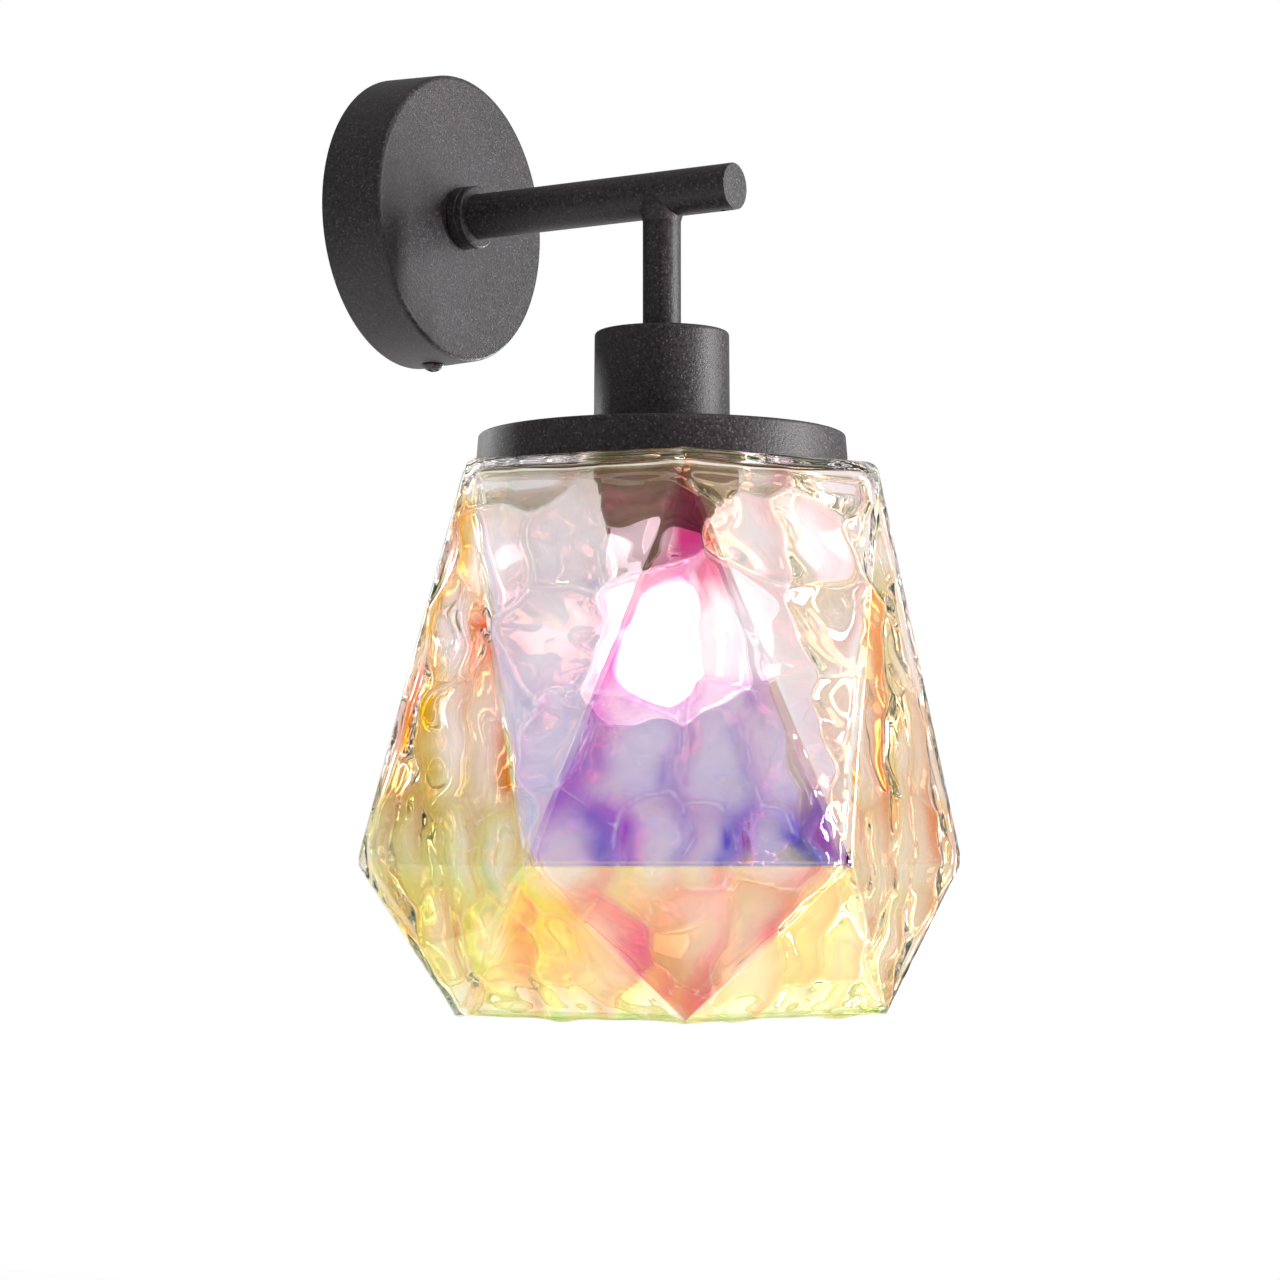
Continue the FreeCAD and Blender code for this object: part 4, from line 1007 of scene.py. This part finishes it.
    def film(self, rows: list[Row], points: np.ndarray) -> np.ndarray:
        """Film colour at each corner of each quad.

        A facet's colour runs from its top colour through its middle to its foot colour with
        height. Rows within a wall's thickness of the rim take the rim's tint as well.

        Args:
            rows: The rows of the grid.
            points: Their points as one grid.

        Returns:
            Array of colours, one for each corner of each quad.
        """
        side = np.arange(points.shape[1]) // self.side_columns
        looks = {kind: np.array([[linear(code) for code in look] for look in sides])
                 for kind, sides in FILM.items()}
        colours = np.ones(points.shape[:2] + (4, 3))
        for number, row in enumerate(rows):
            after = rows[(number + 1) % len(rows)]
            for corner, down in enumerate((False, False, True, True)):
                tip = after.tip if down else row.tip
                lower = (row.lower or after.lower) if down else (row.lower and after.lower)
                drop = 1 - tip if lower else tip
                early = np.clip(drop * 2, 0, 1)
                late = np.clip(drop * 2 - 1, 0, 1)
                for parity in (0, 1):
                    look = looks[Facet.at(lower, parity == 1)]
                    shown = look[:, 0] * (1 - early) + look[:, 1] * (early - late) + look[:, 2] * late
                    chosen = side % 2 == parity
                    colours[number, chosen, corner] = shown[side[chosen] // 2]
        height = points[..., 2].max(axis=1) - self.levels()[3]
        colours[height < self.wall] *= linear(self.rim_tint)
        return colours.reshape(-1, 4, 3)

    def build(self, finish: bpy.types.Material) -> None:
        """Makes the shade in place of its CAD solid."""
        shade = self.surface().to_object("rippled_shade")
        place(shade, "fixture", "shade_glass", finish, "glass_shade")


# ---- the lamp ------------------------------------------------------------------------
@dataclass
class Lamp:
    """Pear-shaped lamp: thin clear glass round a glowing core."""

    axis_y: float = AXIS_Y
    neck_radius: float = 0.0142
    neck_length: float = 0.009
    glass: float = 0.0009
    throat_radius: float = 0.0112
    throat_height: float = 0.002
    meeting: float = math.radians(32)
    pull: float = 0.35
    columns: int = 144
    core_radius: float = 0.0155
    core_rows: int = 40
    core_columns: int = 72

    def globe(self) -> tuple[float, float]:
        """The globe's size and place, from the CAD node.

        Returns:
            Its radius and the height of its centre.
        """
        low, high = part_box("lamp_glass")
        radius = (high[0] - low[0]) / 2
        return radius, low[2] + radius

    def outline(self, shrink: float) -> np.ndarray:
        """Glass outline from neck to foot.

        The neck runs straight, a cubic curve leaves it downwards and meets the globe on its
        tangent, and the globe runs round to the axis.

        Args:
            shrink: How far the outline lies inside the outer face.

        Returns:
            Array of (radius, height) rows.
        """
        full, centre = self.globe()
        radius = full - shrink
        neck = self.neck_radius - shrink
        cap_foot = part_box("lamp_glass")[1][2] - self.throat_height
        start = cap_foot - self.neck_length
        arm = self.pull * (start - centre)
        lean = self.meeting
        meet = np.array([radius * math.cos(lean), centre + radius * math.sin(lean)])
        tangent = np.array([-math.sin(lean), math.cos(lean)])
        poles = [np.array([neck, start]), np.array([neck, start - arm]), meet + tangent * arm, meet]
        t = np.linspace(0, 1, 26)[:, None]
        flank = sum(math.comb(3, i) * (1 - t) ** (3 - i) * t ** i * poles[i] for i in range(4))
        turn = np.linspace(lean, -math.pi / 2, 46)[1:]
        bowl = np.stack([radius * np.cos(turn), centre + radius * np.sin(turn)], axis=-1)
        bowl[-1, 0] = 0.0
        straight = np.array([[neck, cap_foot], [neck, (cap_foot + start) / 2]])
        return np.concatenate([straight, flank, bowl])

    def envelope(self) -> Surface:
        """The glass as one closed shell: the throat, the outer face, and back up the inner one.

        Returns:
            The surface.
        """
        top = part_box("lamp_glass")[1][2]
        outer = self.outline(0.0)
        inner = self.outline(self.glass)
        step = outer[0, 1]
        inner_step = step - self.throat_height
        bore = self.throat_radius - self.glass
        throat = np.array([[self.throat_radius, top], [self.throat_radius, step]])
        back = np.array([[inner[0, 0], inner_step], [bore, inner_step], [bore, top]])
        inside = inner[inner[:, 1] < inner_step][::-1]
        profile = np.concatenate([throat, outer, inside, back])
        return Surface(turned(self.axis_y, profile[:, 0], profile[:, 1], self.columns))

    def core(self) -> Surface:
        """The glowing core, a ball in the middle of the globe.

        Returns:
            The surface.
        """
        turn = np.linspace(math.pi / 2, -math.pi / 2, self.core_rows)
        radii = self.core_radius * np.cos(turn)
        radii[[0, -1]] = 0.0
        heights = self.globe()[1] + self.core_radius * np.sin(turn)
        return Surface(turned(self.axis_y, radii, heights, self.core_columns), closed_rows=False)

    def build(self, glass: bpy.types.Material, glow: bpy.types.Material) -> None:
        """Makes the glass shell and the glowing core in their two finishes."""
        place(self.envelope().to_object("lamp_envelope"), "lamp", "lamp_glass", glass, "lamp_glass")
        place(self.core().to_object("lamp_core"), "lamp", "filament", glow, "lamp_filaments")


# ---- dressing the CAD nodes ------------------------------------------------------------
@dataclass
class Hardware:
    """Pieces whose CAD shape is right: they only get their finish."""

    finishes: dict[str, bpy.types.Material]

    def dress(self) -> None:
        """Gives every CAD node the finish of its slot in the record."""
        slots = {part["node"]: part["material_slot"] for part in frame["record"]["subparts"]}
        for name, obj in frame["nodes"].items():
            finish = self.finishes.get(slots[name])
            if finish is None:
                LOG.warning("%s has no finish", name)
                continue
            obj.data.materials.clear()
            obj.data.materials.append(finish)
            LOG.info("%s: %s", name, finish.name)


# ---- studio ----------------------------------------------------------------------------
@dataclass(frozen=True)
class PhotoCamera:
    """The photograph's camera, as fitted to the object's edges."""

    azimuth: float = math.radians(-58.357)
    pitch: float = math.radians(3.341)
    distance: float = 1.10444
    focal_pixels: float = 3224.3
    picture_pixels: float = 1280.0
    sensor: float = 36.0
    aim: tuple[float, float, float] = (0.0, -0.060, -0.120)
    aim_right: float = 0.030604
    aim_up: float = -0.029074

    def build(self) -> None:
        """Makes the camera and hands it to the scene."""
        level = Vector((-math.sin(self.azimuth), math.cos(self.azimuth), 0))
        ahead = level * math.cos(self.pitch) + Vector((0, 0, math.sin(self.pitch)))
        right = Vector((math.cos(self.azimuth), math.sin(self.azimuth), 0))
        up = right.cross(ahead)
        aim = Vector(self.aim) + right * self.aim_right + up * self.aim_up
        data = bpy.data.cameras.new("camera")
        data.sensor_width = self.sensor
        data.lens = self.focal_pixels / self.picture_pixels * self.sensor
        data.clip_start = 0.01
        obj = bpy.data.objects.new("camera", data)
        bpy.context.scene.collection.objects.link(obj)
        turn = Matrix((right, up, -ahead)).transposed()
        obj.matrix_world = Matrix.Translation(aim - ahead * self.distance) @ turn.to_4x4()
        bpy.context.scene.camera = obj


@dataclass(frozen=True)
class SoftBox:
    """One rectangular area light aimed at a point."""

    name: str
    place: tuple[float, float, float]
    size: tuple[float, float]
    power: float
    aim: tuple[float, float, float] = (0.0, -0.09, -0.12)
    colour: Colour = (1.0, 1.0, 1.0)

    def build(self) -> None:
        """Makes the light."""
        data = bpy.data.lights.new(self.name, "AREA")
        data.shape = "RECTANGLE"
        data.size, data.size_y = self.size
        data.energy = self.power
        data.color = self.colour
        obj = bpy.data.objects.new(self.name, data)
        bpy.context.scene.collection.objects.link(obj)
        obj.location = self.place
        toward = Vector(self.aim) - Vector(self.place)
        obj.rotation_mode = "QUATERNION"
        obj.rotation_quaternion = toward.to_track_quat("-Z", "Y")


@dataclass(frozen=True)
class Studio:
    """White surroundings, a pale floor and soft boxes."""

    ambient: float = 0.4
    gloss_bright: float = 0.37
    gloss_dark: float = 0.12
    dark_side: tuple[float, float, float] = (-0.78, -0.62, 0.02)
    dark_span: Span = (0.55, 0.95)
    floor_height: float = -1.1
    floor_size: float = 8.0
    floor_glow: float = 0.6
    bounces: int = 18
    boxes: tuple[SoftBox, ...] = (
        SoftBox("key", (0.95, -1.0, 0.6), (0.5, 0.8), 4.0),
        SoftBox("side strip", (0.55, -1.13, -0.12), (0.1, 0.7), 23.0, (0.0, AXIS_Y, -0.12)),
        SoftBox("glint left", (0.35, 1.1, 0.25), (0.16, 0.5), 4.0),
        SoftBox("glint right", (1.3, 0.1, -0.45), (0.16, 0.5), 6.0),
        SoftBox("high fill", (-0.45, -1.1, 1.2), (0.7, 0.5), 6.0),
        SoftBox("warm underlight", (-0.3, -1.2, -0.75), (0.5, 0.3), 3.0, colour=(1.0, 0.66, 0.68)),
    )

    def world(self) -> None:
        """White where the camera or the glass looks past the object, softer light elsewhere.

        Gloss finds gloss_bright around it, falling to gloss_dark towards dark_side.
        """
        made = bpy.data.worlds.new("studio")
        bpy.context.scene.world = made
        made.use_nodes = True
        tree = made.node_tree
        tree.nodes.clear()
        sketch = Sketch(tree)
        rays = sketch.add("LightPath")
        seen = sketch.math("MAXIMUM", rays.outputs["Is Camera Ray"], rays.outputs["Is Transmission Ray"])
        way = sketch.add("TexCoord").outputs["Generated"]
        toward = sketch.add("VectorMath", {0: way, 1: self.dark_side}, operation="DOT_PRODUCT")
        gloss = sketch.remap(toward.outputs["Value"], *self.dark_span, self.gloss_bright, self.gloss_dark)
        plain = sketch.add("Mix", {0: rays.outputs["Is Glossy Ray"], 2: self.ambient, 3: gloss}).outputs[0]
        strength = sketch.add("Mix", {0: seen, 2: plain, 3: 1.0}).outputs[0]
        light = sketch.add("Background", {"Color": (1, 1, 1, 1), "Strength": strength})
        out = tree.nodes.new("ShaderNodeOutputWorld")
        tree.links.new(light.outputs[0], out.inputs[0])

    def floor(self) -> None:
        """Plain pale floor far below the light, lifted towards white where it is seen or mirrored."""
        half = self.floor_size / 2
        corners = [(-half, -half), (half, -half), (half, half), (-half, half)]
        mesh = bpy.data.meshes.new("floor")
        mesh.from_pydata([(x, y, self.floor_height) for x, y in corners], [], [(0, 1, 2, 3)])
        obj = bpy.data.objects.new("floor", mesh)
        bpy.context.scene.collection.objects.link(obj)
        made, sketch, shader = new_material("floor")
        noise = sketch.add("TexNoise", {"Scale": 3.0})
        colour = sketch.blend(noise.outputs[0], (0.93, 0.93, 0.93, 1), (0.96, 0.96, 0.96, 1))
        rays = sketch.add("LightPath").outputs
        seen = sketch.math("MAXIMUM", rays["Is Camera Ray"],
                           sketch.math("MAXIMUM", rays["Is Transmission Ray"], rays["Is Glossy Ray"]))
        set_sockets(shader, {"Base Color": colour, "Roughness": 0.9, "Emission Color": (1, 1, 1, 1),
                             "Emission Strength": sketch.math("MULTIPLY", seen, self.floor_glow)})
        mesh.materials.append(made)

    def build(self) -> None:
        """Makes the surroundings, the floor and the lights, and lets light bounce on in the glass."""
        self.world()
        self.floor()
        cycles = bpy.context.scene.cycles
        cycles.max_bounces = self.bounces
        cycles.transmission_bounces = self.bounces
        cycles.glossy_bounces = self.bounces
        for box in self.boxes:
            box.build()
        bpy.context.scene.view_settings.view_transform = "Standard"


def finishes(effects: Effects) -> dict[str, bpy.types.Material]:
    """Every finish, by the record's slot.

    Args:
        effects: The shared node groups.

    Returns:
        Slot name to material.
    """
    makers = {
        "powder_coat": PowderCoat(),
        "black_screw": Moulding("blackened steel", "1a1716", "241f1d", 0.34, 1200.0),
        "zinc_steel": PlainMetal("zinc plate", "c9cac6", "a9aba8", 0.34),
        "brass": PlainMetal("pressed brass", "d8b46a", "b8924e", 0.3),
        "white_plastic": Moulding("terminal plastic", "ecebe4", "dddbd2", 0.45),
        "holder_plastic": Moulding("holder thermoset", "4c3831", "3c2b26", 0.38),
        "ceramic": Moulding("steatite", "e6dfd0", "d6cdbb", 0.6),
        "silicone": Moulding("silicone", "d9d7d0", "c9c7c0", 0.5),
        "shade_glass": FilmGlass(),
        "lamp_glass": ClearGlass(),
        "filament": Glow(),
        "nickel": PlainMetal("nickel plate", "cfc9c0", "aaa49b", 0.28),
        "black_glass": Moulding("black insulator", "101012", "18181b", 0.15),
        "wire_brown": Moulding("brown sheath", "5c3218", "4a2711", 0.42),
        "wire_blue": Moulding("blue sheath", "1d5fa8", "174d8c", 0.42),
    }
    return {slot: maker.build(effects) for slot, maker in makers.items()}


def main() -> None:
    """Builds the studio, dresses the CAD nodes and adds the modelled pieces."""
    logging.basicConfig(level=logging.INFO, format="%(name)s %(message)s")
    PhotoCamera().build()
    Studio().build()
    made = finishes(Effects())
    Hardware(made).dress()
    GlassShade().build(made["shade_glass"])
    Lamp().build(made["lamp_glass"], made["filament"])


if __name__ == "__main__":
    main()
